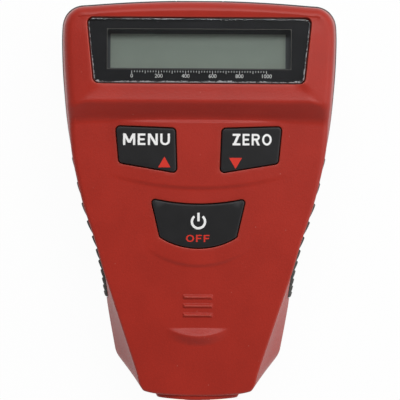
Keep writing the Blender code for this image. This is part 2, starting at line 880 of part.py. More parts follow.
def front_skin():
    """The front moulding as one closed wall, before its bosses and openings."""
    parting_half, face_half = half_outlines()
    parting, face = whole(parting_half), whole(face_half)
    rounds = [edge_round(y) for _, y in face]
    bm = bmesh.new()
    below = ring(bm, parting, lambda x, y: part_level(y))
    first = below
    for step in range(ROUND_STEPS + 1):
        turn = math.pi / 2 * step / ROUND_STEPS
        outline = inset(face, [r * (1 - math.cos(turn)) for r in rounds])
        loop = [
            bm.verts.new((x, y, plain_level(x, y) - r * (1 - math.sin(turn))))
            for (x, y), r in zip(outline, rounds)
        ]
        band(bm, below, loop)
        below = loop
    cap(bm, below, face_lines(face_half), FACE_SPACING, face_level)
    skirt = inset(parting, SKIRT_WALL)
    wall = inset(parting, SHELL_WALL)
    rebate = LIP_HEIGHT + SEAT_GAP
    rings = [
        ring(bm, skirt, lambda x, y: part_level(y)),
        ring(bm, skirt, lambda x, y: part_level(y) + rebate),
        ring(bm, wall, lambda x, y: part_level(y) + rebate),
        ring(bm, inset(face, SHELL_WALL), roof_level),
    ]
    for lower, upper in zip([first, *rings], rings):
        band(bm, lower, upper)
    foot = drop_foot_y()
    roof_lines = [across(y, half_at(face_half, y) - SHELL_WALL - 0.5, 7) for y in (CREST_Y, foot)]
    cap(bm, rings[-1], roof_lines, ROOF_SPACING, roof_level)
    return made("front_shell", bm, "red_plastic", 35)


def rear_skin():
    """The rear moulding as one closed wall with its locating lip."""
    parting = whole(half_outlines()[0])
    flares = [lerp(-REAR_FLARE, REAR_FLARE, ease((y - FLARE_FROM_Y) / FLARE_SPAN)) for _, y in parting]
    rounds = [back_round(y) for _, y in parting]
    bm = bmesh.new()
    edge = ring(bm, inset(parting, [-f for f in flares]), lambda x, y: part_level(y) - SEAT_GAP)
    above = edge
    for step in range(ROUND_STEPS + 1):
        turn = math.pi / 2 * step / ROUND_STEPS
        shares = [BACK_DRAFT * r / BACK_ROUND + r * (1 - math.cos(turn)) for r in rounds]
        outline = inset(parting, shares)
        loop = [
            bm.verts.new((x, y, back_level(y) + r * (1 - math.sin(turn))))
            for (x, y), r in zip(outline, rounds)
        ]
        band(bm, above, loop)
        above = loop
    half = half_outlines()[0]
    lines = [across(y, half_at(half, y) - FLOOR_MARGIN, 5) for y in (BACK_RISE_Y, -34.0)]
    cap(bm, above, lines, FLOOR_SPACING, lambda x, y: back_level(y))
    outer_lip = inset(parting, SKIRT_WALL + SEAT_GAP)
    inner_lip = inset(parting, SKIRT_WALL + SEAT_GAP + LIP_WALL)
    rings = [
        ring(bm, outer_lip, lambda x, y: part_level(y) - SEAT_GAP),
        ring(bm, outer_lip, lambda x, y: part_level(y) + LIP_HEIGHT),
        ring(bm, inner_lip, lambda x, y: part_level(y) + LIP_HEIGHT),
        ring(bm, inset(parting, SHELL_WALL + 0.4), lambda x, y: back_level(y) + BACK_FLOOR),
    ]
    for lower, upper in zip([edge, *rings], rings):
        band(bm, lower, upper)
    cap(bm, rings[-1], lines, FLOOR_SPACING, lambda x, y: back_level(y) + BACK_FLOOR)
    return made("rear_shell", bm, "grey_plastic", 35)


# Outlines shared by a piece and its opening

def lens_outline(grow=0.0):
    corners = [
        (-LENS_TOP_HALF - grow, LENS_TOP_Y + grow),
        (LENS_TOP_HALF + grow, LENS_TOP_Y + grow),
        (LENS_BOTTOM_HALF + grow, LENS_BOTTOM_Y - grow),
        (-LENS_BOTTOM_HALF - grow, LENS_BOTTOM_Y - grow),
    ]
    return rounded(corners, LENS_CORNER + grow)


def grown(outline, grow):
    """An outline given clockwise, moved outwards."""
    return inset(outline, -grow)


def side_key_outline(side, grow=0.0):
    outline = grown(rounded(SIDE_KEY, KEY_CORNER), grow)
    return outline if side > 0 else mirrored(outline)


def off_key_outline(grow=0.0):
    top = arc_through(
        (-OFF_KEY_TOP_HALF, OFF_KEY_TOP_Y), (OFF_KEY_TOP_HALF, OFF_KEY_TOP_Y), -OFF_KEY_TOP_SAG, 6
    )
    bottom = arc_through(
        (OFF_KEY_BOTTOM_HALF, OFF_KEY_BOTTOM_Y),
        (-OFF_KEY_BOTTOM_HALF, OFF_KEY_BOTTOM_Y),
        OFF_KEY_BOTTOM_SAG,
        6,
    )
    return grown(rounded(top + bottom, 0.5, 2), grow)


KEYS = {
    "mode_key": (lambda grow=0.0: side_key_outline(-1, grow), (-SIDE_KEY_STEM[0], SIDE_KEY_STEM[1])),
    "unit_key": (lambda grow=0.0: side_key_outline(1, grow), SIDE_KEY_STEM),
    "off_key": (off_key_outline, OFF_KEY_STEM),
}


def key_flange_top(outline):
    """The flange lies flat below the lowest stretch of roof over it."""
    return min(roof_level(x, y) for x, y in outline(KEY_FLANGE)) - SEAT_GAP


def case_screw_seat():
    return COUNTERBORE_Z - SEAT_GAP


def board_screw_seat():
    return BOARD_TOP_Z - BOARD_THICK - SEAT_GAP


# Side grips

def grip_bounds():
    """The levels along Y where one scallop of a grip ends and the next starts."""
    bounds = [GRIP_TOP_Y]
    for k in range(GRIP_SCALLOPS):
        bounds.append(bounds[-1] - GRIP_FIRST_PITCH * GRIP_PITCH_RATIO**k)
    return bounds


def wall_x(parting_half, face_half, y, z):
    """Where the case's side wall stands at a level along its length and height."""
    outer, face = half_at(parting_half, y), half_at(face_half, y)
    split = part_level(y)
    if z >= split:
        top = plain_level(face, y) - edge_round(y)
        return lerp(outer, face, (z - split) / (top - split))
    low = back_level(y) + back_round(y)
    draft = BACK_DRAFT * back_round(y) / BACK_ROUND
    return outer - draft * (split - z) / (split - low)


def grip_section(parting_half, face_half, y, proud, grow):
    """The grip's cross-section at one level along its length, as (x, z) points."""
    bounds = grip_bounds()
    t = (GRIP_TOP_Y - y) / (GRIP_TOP_Y - bounds[-1])
    low = lerp(GRIP_LOW_Z[0], GRIP_LOW_Z[1], t) - grow
    high = lerp(GRIP_HIGH_Z[0], GRIP_HIGH_Z[1], t) + grow
    middle = min(max(part_level(y), low + GRIP_EDGE + 0.5), high - GRIP_EDGE - 0.5)
    depth = GRIP_INSET + grow
    levels = [low, low + GRIP_EDGE, middle, high - GRIP_EDGE, high]
    shares = [0.2, 0.85, 1.0, 0.85, 0.2]
    outer = [
        (wall_x(parting_half, face_half, y, z) + proud * share, z)
        for z, share in zip(levels, shares)
    ]
    inner = [(wall_x(parting_half, face_half, y, z) - depth, z) for z in (high, middle, low)]
    return outer + inner


def grip(name, side, finish, grow=0.0):
    """A rubber grip with progressive scallops; grown, it cuts its own seat in the case."""
    parting_half, face_half = half_outlines()
    bounds = grip_bounds()
    sections = []
    if grow:
        levels = [GRIP_TOP_Y + grow, *bounds[1:-1], bounds[-1] - grow]
        sections = [(y, 4.0) for y in levels]
    else:
        for top, bottom in zip(bounds, bounds[1:]):
            for t in (0.06, 0.3, 0.7, 0.94):
                y = lerp(top, bottom, t)
                proud = float(np.interp(-y, [-p[0] for p in GRIP_PROUD], [p[1] for p in GRIP_PROUD]))
                valley = GRIP_VALLEY * (top - bottom)
                sections.append((y, proud - (valley if t in (0.06, 0.94) else 0.0)))
    bm = bmesh.new()
    rows = []
    for y, proud in sections:
        points = grip_section(parting_half, face_half, y, proud, grow)
        rows.append([bm.verts.new((side * x, y, z)) for x, z in points])
    for first, second in zip(rows, rows[1:]):
        band(bm, first, second)
    bm.faces.new(rows[0])
    bm.faces.new(reversed(rows[-1]))
    return made(name, bm, finish, 40)


# Pieces of the gauge

def front_shell():
    shell = front_skin()
    ledge_z = LENS_TOP_Z - LENS_THICK - GASKET_THICK - 2 * SEAT_GAP
    collar = collar_block()
    bosses = posts("front_bosses", CASE_SCREWS, BOSS_RADIUS, BOSS_JOIN_Z + SEAT_GAP, into_roof)
    board_posts = posts(
        "front_board_posts", BOARD_SCREWS, POST_RADIUS, BOARD_TOP_Z + SEAT_GAP, into_roof
    )
    saddle = box(
        "front_saddle",
        (-SADDLE_HALF, SADDLE_HALF),
        (SADDLE_Y - SADDLE_THICK / 2, SADDLE_Y + SADDLE_THICK / 2),
        (PROBE_Z + 0.2, into_roof(0.0, SADDLE_Y)),
    )
    join(shell, collar, bosses, board_posts, saddle)
    cut(shell, prism("lens_pocket", lens_outline(SEAT_GAP), ledge_z, PLATEAU_Z + CUTTER_REACH))
    cut(
        shell,
        box(
            "window_opening",
            (-WINDOW_HALF - 0.4, WINDOW_HALF + 0.4),
            (WINDOW_BOTTOM_Y - 0.4, WINDOW_TOP_Y + 0.4),
            (ledge_z - LEDGE_THICK - CUTTER_REACH, ledge_z + 1),
        ),
    )
    above = PLATEAU_Z + CUTTER_REACH
    for name, (outline, _) in KEYS.items():
        cut(shell, prism(name + "_opening", outline(RUN_GAP), BOARD_TOP_Z, above))
    pilots = (
        ("front_pilots", CASE_SCREWS, case_screw_seat(), CASE_SCREW_LENGTH),
        ("board_pilots", BOARD_SCREWS, board_screw_seat(), BOARD_SCREW_LENGTH),
    )
    for name, places, seat, length in pilots:
        end = seat + length + PILOT_DEPTH
        cut(shell, posts(name, places, SCREW_RADIUS + SEAT_GAP, seat, end, steps=12))
    cut(shell, probe_bore())
    cut(shell, bpy.data.objects["right_grip_seat"], bpy.data.objects["left_grip_seat"])


def collar_block():
    """The shallow collar that stands out round the probe at the nose."""
    bm = bmesh.new()
    low = PART_NOSE_Z + 0.4
    crown = [(COLLAR_END_HALF * k / 4, COLLAR_TOP_Z - (COLLAR_TOP_Z - COLLAR_SIDE_Z) * (k / 4) ** 2)
             for k in range(-4, 5)]
    section = [(COLLAR_END_HALF, low), (-COLLAR_END_HALF, low), *crown]
    rows = []
    for y, widen in ((NOSE_Y + 1.2, COLLAR_ROOT_HALF / COLLAR_END_HALF), (COLLAR_END_Y, 1.0)):
        rows.append([bm.verts.new((x * widen, y, z)) for x, z in section])
    band(bm, rows[0], rows[1])
    bm.faces.new(rows[0])
    bm.faces.new(reversed(rows[1]))
    return made("collar_block", bm)


def probe_bore():
    """The stepped hole for the probe's sleeve, through the nose and its saddles."""
    return turned(
        "probe_bore",
        [
            (0.0, SLEEVE_END_Y + CUTTER_REACH),
            (SLEEVE_BODY_RADIUS + SEAT_GAP, SLEEVE_END_Y + CUTTER_REACH),
            (SLEEVE_BODY_RADIUS + SEAT_GAP, SLEEVE_SHOULDER_Y - SEAT_GAP),
            (SLEEVE_RADIUS + SEAT_GAP, SLEEVE_SHOULDER_Y - SEAT_GAP),
            (SLEEVE_RADIUS + SEAT_GAP, TIP_Y - CUTTER_REACH),
            (0.0, TIP_Y - CUTTER_REACH),
        ],
    )


def rear_shell():
    shell = rear_skin()
    tub = box(
        "bay_block",
        (-BAY_HALF - BAY_WALL, BAY_HALF + BAY_WALL),
        (BAY_START_Y - BAY_WALL, BAY_END_Y + 1.6),
        (BACK_FLOOR - 0.7, BAY_ROOF_Z + BAY_WALL),
    )
    bosses = posts("rear_bosses", CASE_SCREWS, BOSS_RADIUS, 1.2, BOSS_JOIN_Z)
    saddle = box(
        "rear_saddle",
        (-SADDLE_HALF, SADDLE_HALF),
        (SADDLE_Y - SADDLE_THICK / 2, SADDLE_Y + SADDLE_THICK / 2),
        (2.0, PROBE_Z - 0.2),
    )
    join(shell, tub, bosses, saddle)
    cut(shell, bay_hollow(), door_opening())
    cut(shell, posts("rear_clearances", CASE_SCREWS, SCREW_RADIUS + SEAT_GAP, 2.0, BOSS_JOIN_Z + 1, steps=12))
    cut(
        shell,
        posts("counterbores", CASE_SCREWS, SCREW_HEAD + SEAT_GAP, -CUTTER_REACH, COUNTERBORE_Z),
    )
    cut(shell, contact_slots(), bpy.data.objects["probe_bore"])
    cut(shell, bpy.data.objects["right_grip_seat"], bpy.data.objects["left_grip_seat"])


def bay_hollow():
    """The inside of the battery bay, with ribs that cradle the two cells."""
    bay = box(
        "bay_hollow",
        (-BAY_HALF, BAY_HALF),
        (BAY_START_Y, BAY_END_Y),
        (BACK_FLOOR, BAY_ROOF_Z),
    )
    bm = bmesh.new()
    for y in BAY_RIBS:
        add_box(
            bm,
            (-BAY_HALF - 0.5, BAY_HALF + 0.5),
            (y - RIB_THICK / 2, y + RIB_THICK / 2),
            (rib_low(), BAY_ROOF_Z + 0.5),
        )
    ribs = made("bay_ribs", bm)
    bm = bmesh.new()
    for x in (-CELL_X, CELL_X):
        verts = bmesh.ops.create_cone(
            bm,
            cap_ends=True,
            segments=20,
            radius1=CELL_RADIUS + SEAT_GAP,
            radius2=CELL_RADIUS + SEAT_GAP,
            depth=CELL_LENGTH + 10,
        )["verts"]
        for v in verts:
            v.co = Vector((v.co.x + x, v.co.z + BAY_RIBS[1], v.co.y + CELL_Z))
    cell_space = made("cell_space", bm)
    half = CELL_X + CELL_RADIUS + SEAT_GAP
    drop = box("cell_way", (-half, half), (BAY_START_Y, BAY_END_Y), (0.0, CELL_Z))
    cut(ribs, cell_space, drop)
    cut(bay, ribs)
    return bay


def rib_low():
    """The underside of the bay's ribs, just above the door's tongues."""
    return BACK_FLOOR + SEAT_GAP + DOOR_TONGUE + SEAT_GAP


def door_opening():
    """The slot for the door through the back, and the notch and recess at the end."""
    bm = bmesh.new()
    half = DOOR_HALF + RUN_GAP
    along = (DOOR_START_Y - RUN_GAP, TOP_Y + CUTTER_REACH)
    add_box(bm, (-half, half), along, (-CUTTER_REACH, BACK_FLOOR + 0.5))
    opening = made("door_opening", bm)
    end_half = DOOR_END_HALF + RUN_GAP
    notch = box(
        "end_notch",
        (-end_half, end_half),
        (BAY_END_Y - 0.5, TOP_Y + CUTTER_REACH),
        (-CUTTER_REACH, DOOR_END_TOP_Z + RUN_GAP),
    )
    recess = box(
        "tab_recess",
        (-TAB_HALF - RUN_GAP, TAB_HALF + RUN_GAP),
        (TAB_END_Y - TAB_THICK - RUN_GAP, TOP_Y + CUTTER_REACH),
        (DOOR_END_TOP_Z - 1.0, TAB_TOP_Z + RUN_GAP),
    )
    join(opening, notch, recess)
    return opening


def contact_slots():
    """Slots in the bay's roof for the solder tabs of the two terminals."""
    bm = bmesh.new()
    half = CONTACT_TAB / 2 + SEAT_GAP
    y = terminal_y()
    for x in (-CELL_X, CELL_X):
        add_box(
            bm,
            (x - half, x + half),
            (y - SEAT_GAP, y + CONTACT_THICK + SEAT_GAP),
            (BAY_ROOF_Z - 1.0, BAY_ROOF_Z + BAY_WALL + 1.0),
        )
    return made("contact_slots", bm)


def battery_door():
    """The sliding door: a plate, an upturned end, side tongues and a thumb tab."""
    low = DOOR_FACE_Z
    outer_end = TOP_Y - 0.1
    radius = BACK_ROUND - 0.2
    outer_arc = [
        (
            outer_end - radius + radius * math.sin(math.pi / 2 * k / 5),
            low + radius - radius * math.cos(math.pi / 2 * k / 5),
        )
        for k in range(6)
    ]
    inner_end = outer_end - DOOR_END_THICK
    inner = [
        (inner_end, DOOR_END_TOP_Z),
        (inner_end, low + 3.2),
        (inner_end - 1.6, low + DOOR_THICK),
        (DOOR_START_Y, low + DOOR_THICK),
    ]
    profile = [(DOOR_START_Y, low), *outer_arc, (outer_end, DOOR_END_TOP_Z), *inner]

    def across_x(name, half, outline, finish=None):
        bm = bmesh.new()
        rows = [[bm.verts.new((x, y, z)) for y, z in outline] for x in (-half, half)]
        band(bm, rows[0], rows[1])
        bm.faces.new(rows[0])
        bm.faces.new(reversed(rows[1]))
        return made(name, bm, finish)

    door = across_x("battery_door", DOOR_HALF, profile, "grey_plastic")
    wide_from = BAY_END_Y + 1.2
    end_profile = [(wide_from, low + 2.5), *outer_arc[2:], (outer_end, DOOR_END_TOP_Z), *inner[:1]]
    end_profile = [p for p in end_profile if p[0] >= wide_from - 0.01]
    end_piece = across_x("door_end_piece", DOOR_END_HALF, end_profile)
    tongues = box(
        "door_tongues",
        (-DOOR_TONGUE_HALF, DOOR_TONGUE_HALF),
        (DOOR_START_Y + 1.0, BAY_END_Y - 2.0),
        (BACK_FLOOR + SEAT_GAP, BACK_FLOOR + SEAT_GAP + DOOR_TONGUE),
    )
    plate_top = box(
        "door_spine",
        (-DOOR_HALF, DOOR_HALF),
        (DOOR_START_Y + 1.0, BAY_END_Y - 2.0),
        (low + 0.8, BACK_FLOOR + SEAT_GAP + DOOR_TONGUE / 2),
    )
    well = box(
        "door_well",
        (-DOOR_HALF + 1.6, DOOR_HALF - 1.6),
        (DOOR_START_Y + 0.5, BAY_END_Y - 1.5),
        (low + DOOR_THICK - 0.3, 8.0),
    )
    tab = box(
        "door_tab",
        (-TAB_HALF, TAB_HALF),
        (TAB_END_Y - TAB_THICK, TAB_END_Y),
        (DOOR_END_TOP_Z - 1.5, TAB_TOP_Z),
    )
    join(door, end_piece, plate_top, tongues)
    cut(door, well)
    join(door, tab)


def display_lens():
    lens = prism("display_lens", lens_outline(), LENS_TOP_Z - LENS_THICK, LENS_TOP_Z, "lens_plastic")
    edge_bevel(lens, 0.2)


def window_gasket():
    top = LENS_TOP_Z - LENS_THICK - SEAT_GAP
    gasket = prism("window_gasket", lens_outline(), top - GASKET_THICK, top, "black_foam")
    opening = box(
        "gasket_opening",
        (-WINDOW_HALF, WINDOW_HALF),
        (WINDOW_BOTTOM_Y, WINDOW_TOP_Y),
        (top - 2, top + 1),
    )
    cut(gasket, opening)


def lcd_top():
    """The panel's glass lies just under the roof round the window."""
    return roof_level(0.0, (LCD_BOTTOM_Y + LCD_TOP_Y) / 2) - 0.7


def lcd_panel():
    """Two glass plates, the lower one longer where its contact pads are."""
    top = lcd_top()
    panel = box(
        "lcd_panel",
        (-LCD_HALF, LCD_HALF),
        (LCD_BOTTOM_Y, LCD_TOP_Y),
        (top - LCD_THICK, top),
        "lcd_glass",
    )
    bm = bmesh.new()
    rebate = STRIP_WIDTH
    for y in ((LCD_BOTTOM_Y - 1, LCD_BOTTOM_Y + rebate), (LCD_TOP_Y - rebate, LCD_TOP_Y + 1)):
        add_box(bm, (-LCD_HALF - 1, LCD_HALF + 1), y, (top - LCD_THICK - 1, top - LCD_THICK / 2))
    cut(panel, made("lcd_rebates", bm))


def lcd_holder():
    """The frame that carries the panel and both contact strips over the board."""
    top = lcd_top()
    seat = top - LCD_THICK / 2 - SEAT_GAP - 1.9
    gap = SEAT_GAP
    holder = box(
        "lcd_holder",
        (-LCD_HALF - gap - HOLDER_WALL, LCD_HALF + gap + HOLDER_WALL),
        (LCD_BOTTOM_Y - gap - HOLDER_WALL, LCD_TOP_Y + gap + HOLDER_WALL),
        (BOARD_TOP_Z + SEAT_GAP, top + 0.2),
        "white_plastic",
    )
    pocket = box(
        "holder_pocket",
        (-LCD_HALF - gap, LCD_HALF + gap),
        (LCD_BOTTOM_Y - gap, LCD_TOP_Y + gap),
        (seat, top + 3),
    )
    low = strip_places()[0] + STRIP_WIDTH / 2 + gap + HOLDER_WALL
    high = strip_places()[1] - STRIP_WIDTH / 2 - gap - HOLDER_WALL
    clear = (BOARD_TOP_Z - CUTTER_REACH, top + CUTTER_REACH)
    middle = box("holder_middle", (-LCD_HALF + 2, LCD_HALF - 2), (low, high), clear)
    bm = bmesh.new()
    for y in strip_places():
        add_box(
            bm,
            (-STRIP_HALF - gap, STRIP_HALF + gap),
            (y - STRIP_WIDTH / 2 - gap, y + STRIP_WIDTH / 2 + gap),
            clear,
        )
    cut(holder, pocket, middle, made("holder_slots", bm))


def strip_places():
    return (
        LCD_BOTTOM_Y + STRIP_WIDTH / 2 + 0.1,
        LCD_TOP_Y - STRIP_WIDTH / 2 - 0.1,
    )


def contact_strips():
    """Two elastomer strips between the board's pads and the panel's rebates."""
    high = lcd_top() - LCD_THICK / 2 - SEAT_GAP
    for name, y in zip(("lower_contact_strip", "upper_contact_strip"), strip_places()):
        box(
            name,
            (-STRIP_HALF, STRIP_HALF),
            (y - STRIP_WIDTH / 2 + 0.1, y + STRIP_WIDTH / 2 - 0.1),
            (BOARD_TOP_Z + SEAT_GAP, high),
            "black_foam",
        )


def circuit_board():
    outline = [
        (-BOARD_HALF, BOARD_TOP_Y),
        (BOARD_HALF, BOARD_TOP_Y),
        (BOARD_HALF, BOARD_TAPER_Y),
        (BOARD_END_HALF, BOARD_END_Y),
        (-BOARD_END_HALF, BOARD_END_Y),
        (-BOARD_HALF, BOARD_TAPER_Y),
    ]
    board = prism(
        "circuit_board", rounded(outline, 1.0, 2), BOARD_TOP_Z - BOARD_THICK, BOARD_TOP_Z, "board"
    )
    low, high = BOARD_TOP_Z - 2 * BOARD_THICK, BOARD_TOP_Z + BOARD_THICK
    cut(board, posts("board_holes", BOARD_SCREWS, SCREW_RADIUS + SEAT_GAP, low, high, steps=12))


def board_parts():
    """The processor on the board and the probe's connector under it."""
    low = BOARD_TOP_Z + SEAT_GAP
    chip = box(
        "processor_chip",
        (-CHIP_SIZE / 2, CHIP_SIZE / 2),
        (CHIP_Y - CHIP_SIZE / 2, CHIP_Y + CHIP_SIZE / 2),
        (low, low + CHIP_THICK),
        "chip_plastic",
    )
    edge_bevel(chip, 0.3, 1)
    width, depth, height = CONNECTOR_SIZE
    x, y = CONNECTOR_PLACE
    top = BOARD_TOP_Z - BOARD_THICK - SEAT_GAP
    connector = box(
        "probe_connector",
        (x - width / 2, x + width / 2),
        (y - depth / 2, y + depth / 2),
        (top - height, top),
        "white_plastic",
    )
    socket = box(
        "connector_socket",
        (x - width / 2 + 0.7, x + width / 2 - 0.7),
        (y - depth / 2 - 1, y + depth / 2 - 1.0),
        (top - height + 0.6, top - 0.6),
    )
    cut(connector, socket)


def switch_and_plunger(key, x, y):
    """A low tactile switch on the board and its round plunger."""
    low = BOARD_TOP_Z + SEAT_GAP
    top = low + SWITCH_HEIGHT
    half = SWITCH_SIZE / 2
    switch = box(
        key.replace("key", "switch"), (x - half, x + half), (y - half, y + half), (low, top), "nickel"
    )
    edge_bevel(switch, 0.25, 1)
    plunger_low = top + PLUNGER_PROUD - PLUNGER_LENGTH
    well = posts(
        key + "_switch_well",
        [(x, y)],
        PLUNGER_RADIUS + RUN_GAP,
        plunger_low - KEY_TRAVEL - 0.1,
        top + 1,
    )
    cut(switch, well)
    posts(
        key.replace("key", "plunger"),
        [(x, y)],
        PLUNGER_RADIUS,
        plunger_low,
        top + PLUNGER_PROUD,
        "chip_plastic",
    )


def key_cap(name, outline, stem):
    """A key: a cap through the face, a flange under it and a stem to its switch."""
    flange_top = key_flange_top(outline)
    bm = bmesh.new()
    add_prism(bm, outline(), flange_top - 0.4, lambda x, y: cap_level(x, y, stem))
    key = made(name, bm, "key_rubber", 40)
    edge_bevel(key, KEY_EDGE_ROUND)
    flange = prism(
        name + "_flange", outline(KEY_FLANGE), flange_top - KEY_FLANGE_THICK, flange_top
    )
    plunger_top = BOARD_TOP_Z + SEAT_GAP + SWITCH_HEIGHT + PLUNGER_PROUD
    post = posts(
        name + "_stem", [stem], STEM_RADIUS, plunger_top + SEAT_GAP, flange_top - 0.2
    )
    join(key, flange, post)
    key.location = (0.0, 0.0, 0.0)


def cap_level(x, y, stem):
    """The key's top: parallel to the face round its own middle, and just proud of it."""
    slope = (plain_level(0.0, stem[1] + 2) - plain_level(0.0, stem[1] - 2)) / 4
    middle = face_level(0.0, stem[1])
    return middle + KEY_PROUD + slope * (y - stem[1]) - x * x / (2 * CROWN_RADIUS)


def probe():
    """The sleeve in the nose, and the sprung probe that slides in it."""
    flange_front = SLEEVE_STEP_Y + SEAT_GAP
    flange_back = flange_front + PROBE_FLANGE_THICK
    sleeve_radius = SLEEVE_RADIUS
    probe_radius = SLEEVE_BORE - RUN_GAP
    turned(
        "probe_sleeve",
        [
            (SLEEVE_BODY_RADIUS, SLEEVE_END_Y),
            (SLEEVE_BODY_RADIUS, SLEEVE_SHOULDER_Y),
            (sleeve_radius, SLEEVE_SHOULDER_Y),
            (sleeve_radius, COLLAR_END_Y - 0.1),
            (sleeve_radius - 0.2, COLLAR_END_Y - 0.3),
            (SLEEVE_BORE, COLLAR_END_Y - 0.3),
            (SLEEVE_BORE, SLEEVE_STEP_Y),
            (SLEEVE_REAR_BORE, SLEEVE_STEP_Y),
            (SLEEVE_REAR_BORE, SLEEVE_END_Y),
        ],
        "nickel",
    )
    body = turned(
        "probe_body",
        [
            (PROBE_STEM_RADIUS, PROBE_STEM_END_Y),
            (PROBE_STEM_RADIUS, flange_back),
            (SLEEVE_REAR_BORE - RUN_GAP, flange_back),
            (SLEEVE_REAR_BORE - RUN_GAP, flange_front),
            (probe_radius, flange_front),
            (probe_radius, PROBE_FACE_Y + 0.4),
            (probe_radius - 0.4, PROBE_FACE_Y),
            (CORE_RADIUS + SEAT_GAP, PROBE_FACE_Y),
            (CORE_RADIUS + SEAT_GAP, PROBE_BORE_FRONT_Y),
            (PROBE_BORE, PROBE_BORE_FRONT_Y),
            (PROBE_BORE, PROBE_STEM_END_Y),
        ],
        "steel",
    )
    cut(body, vee_groove())
    core_head = PROBE_BORE - SEAT_GAP
    turned(
        "probe_core",
        [
            (0.0, CORE_END_Y),
            (core_head, CORE_END_Y),
            (core_head, CORE_END_Y - 0.8),
            (CORE_RADIUS, CORE_END_Y - 0.8),
            (CORE_RADIUS, TIP_Y + 0.7),
            (CORE_RADIUS * 0.85, TIP_Y + 0.3),
            (CORE_RADIUS * 0.5, TIP_Y + 0.07),
            (0.0, TIP_Y),
        ],
        "steel",
        16,
    )
    coil_back = CORE_END_Y - 0.8 - SEAT_GAP
    turned(
        "probe_coil",
        [
            (PROBE_BORE - SEAT_GAP, coil_back),
            (PROBE_BORE - SEAT_GAP, coil_back - COIL_LENGTH),
            (PROBE_BORE - SEAT_GAP - COIL_WALL, coil_back - COIL_LENGTH),
            (PROBE_BORE - SEAT_GAP - COIL_WALL, coil_back),
        ],
        "copper",
        16,
    )
    retainer_front = SLEEVE_END_Y - RETAINER_THICK - 0.3
    turned(
        "probe_retainer",
        [
            (SLEEVE_REAR_BORE - SEAT_GAP, SLEEVE_END_Y - 0.3),
            (SLEEVE_REAR_BORE - SEAT_GAP, retainer_front),
            (RETAINER_HOLE, retainer_front),
            (RETAINER_HOLE, SLEEVE_END_Y - 0.3),
        ],
        "nickel",
    )
    coil_radius = PROBE_STEM_RADIUS + SEAT_GAP + SPRING_WIRE
    points = coil_points(
        (0.0, PROBE_Z),
        (flange_back + SEAT_GAP + SPRING_WIRE, retainer_front - SEAT_GAP - SPRING_WIRE),
        (coil_radius, coil_radius),
        SPRING_TURNS,
    )
    swept_wire("probe_spring", points, SPRING_WIRE, "steel")
    start = Vector((0.0, retainer_front + 0.1, PROBE_Z))
    x, y = CONNECTOR_PLACE
    top = BOARD_TOP_Z - BOARD_THICK - SEAT_GAP
    end = Vector((x, y - CONNECTOR_SIZE[1] / 2 + 0.3, top - CONNECTOR_SIZE[2] / 2))
    cable = []
    for k in range(13):
        t = k / 12
        point = start.lerp(end, t)
        point.x = lerp(start.x, end.x, ease((t - 0.15) / 0.75))
        point.z = lerp(start.z, end.z, ease((t - 0.1) / 0.8))
        cable.append(tuple(point))
    swept_wire("probe_cable", cable, CABLE_RADIUS, "cable_jacket")


def vee_groove():
    """A groove across the probe's end that sits on curved work."""
    bm = bmesh.new()
    reach, depth = 6.0, 0.9
    rows = []
    for x in (-reach, reach):
        rows.append([
            bm.verts.new((x, PROBE_FACE_Y - 0.2, PROBE_Z - depth - 0.2)),
            bm.verts.new((x, PROBE_FACE_Y + depth, PROBE_Z)),
            bm.verts.new((x, PROBE_FACE_Y - 0.2, PROBE_Z + depth + 0.2)),
        ])
    band(bm, rows[0], rows[1])
    bm.faces.new(rows[0])
    bm.faces.new(reversed(rows[1]))
    return made("vee_groove", bm)


def cells():
    """Two cells side by side, one turned end for end."""
    profile = [
        (0.0, CELL_LENGTH),
        (CELL_NUB_RADIUS, CELL_LENGTH),
        (CELL_NUB_RADIUS, CELL_LENGTH - CELL_NUB),
        (CELL_RADIUS - 0.5, CELL_LENGTH - CELL_NUB),
        (CELL_RADIUS, CELL_LENGTH - CELL_NUB - 0.5),
        (CELL_RADIUS, 0.4),
        (CELL_RADIUS - 0.4, 0.0),
        (0.0, 0.0),
    ]
    pieces = (
        ("left_cell", -CELL_X, terminal_y() - SEAT_GAP - CELL_LENGTH, False),
        ("right_cell", CELL_X, bridge_y() + CONTACT_THICK + SEAT_GAP + CELL_LENGTH, True),
    )
    for name, x, y, turned_round in pieces:
        cell = turned(name, profile, "cell_jacket")
        cell.location = (x * MM, y * MM, CELL_Z * MM)
        if turned_round:
            cell.rotation_euler = (math.radians(90), 0.0, 0.0)


def terminal_y():
    return BAY_END_Y - SEAT_GAP - CONTACT_THICK


def bridge_y():
    return BAY_START_Y + SEAT_GAP


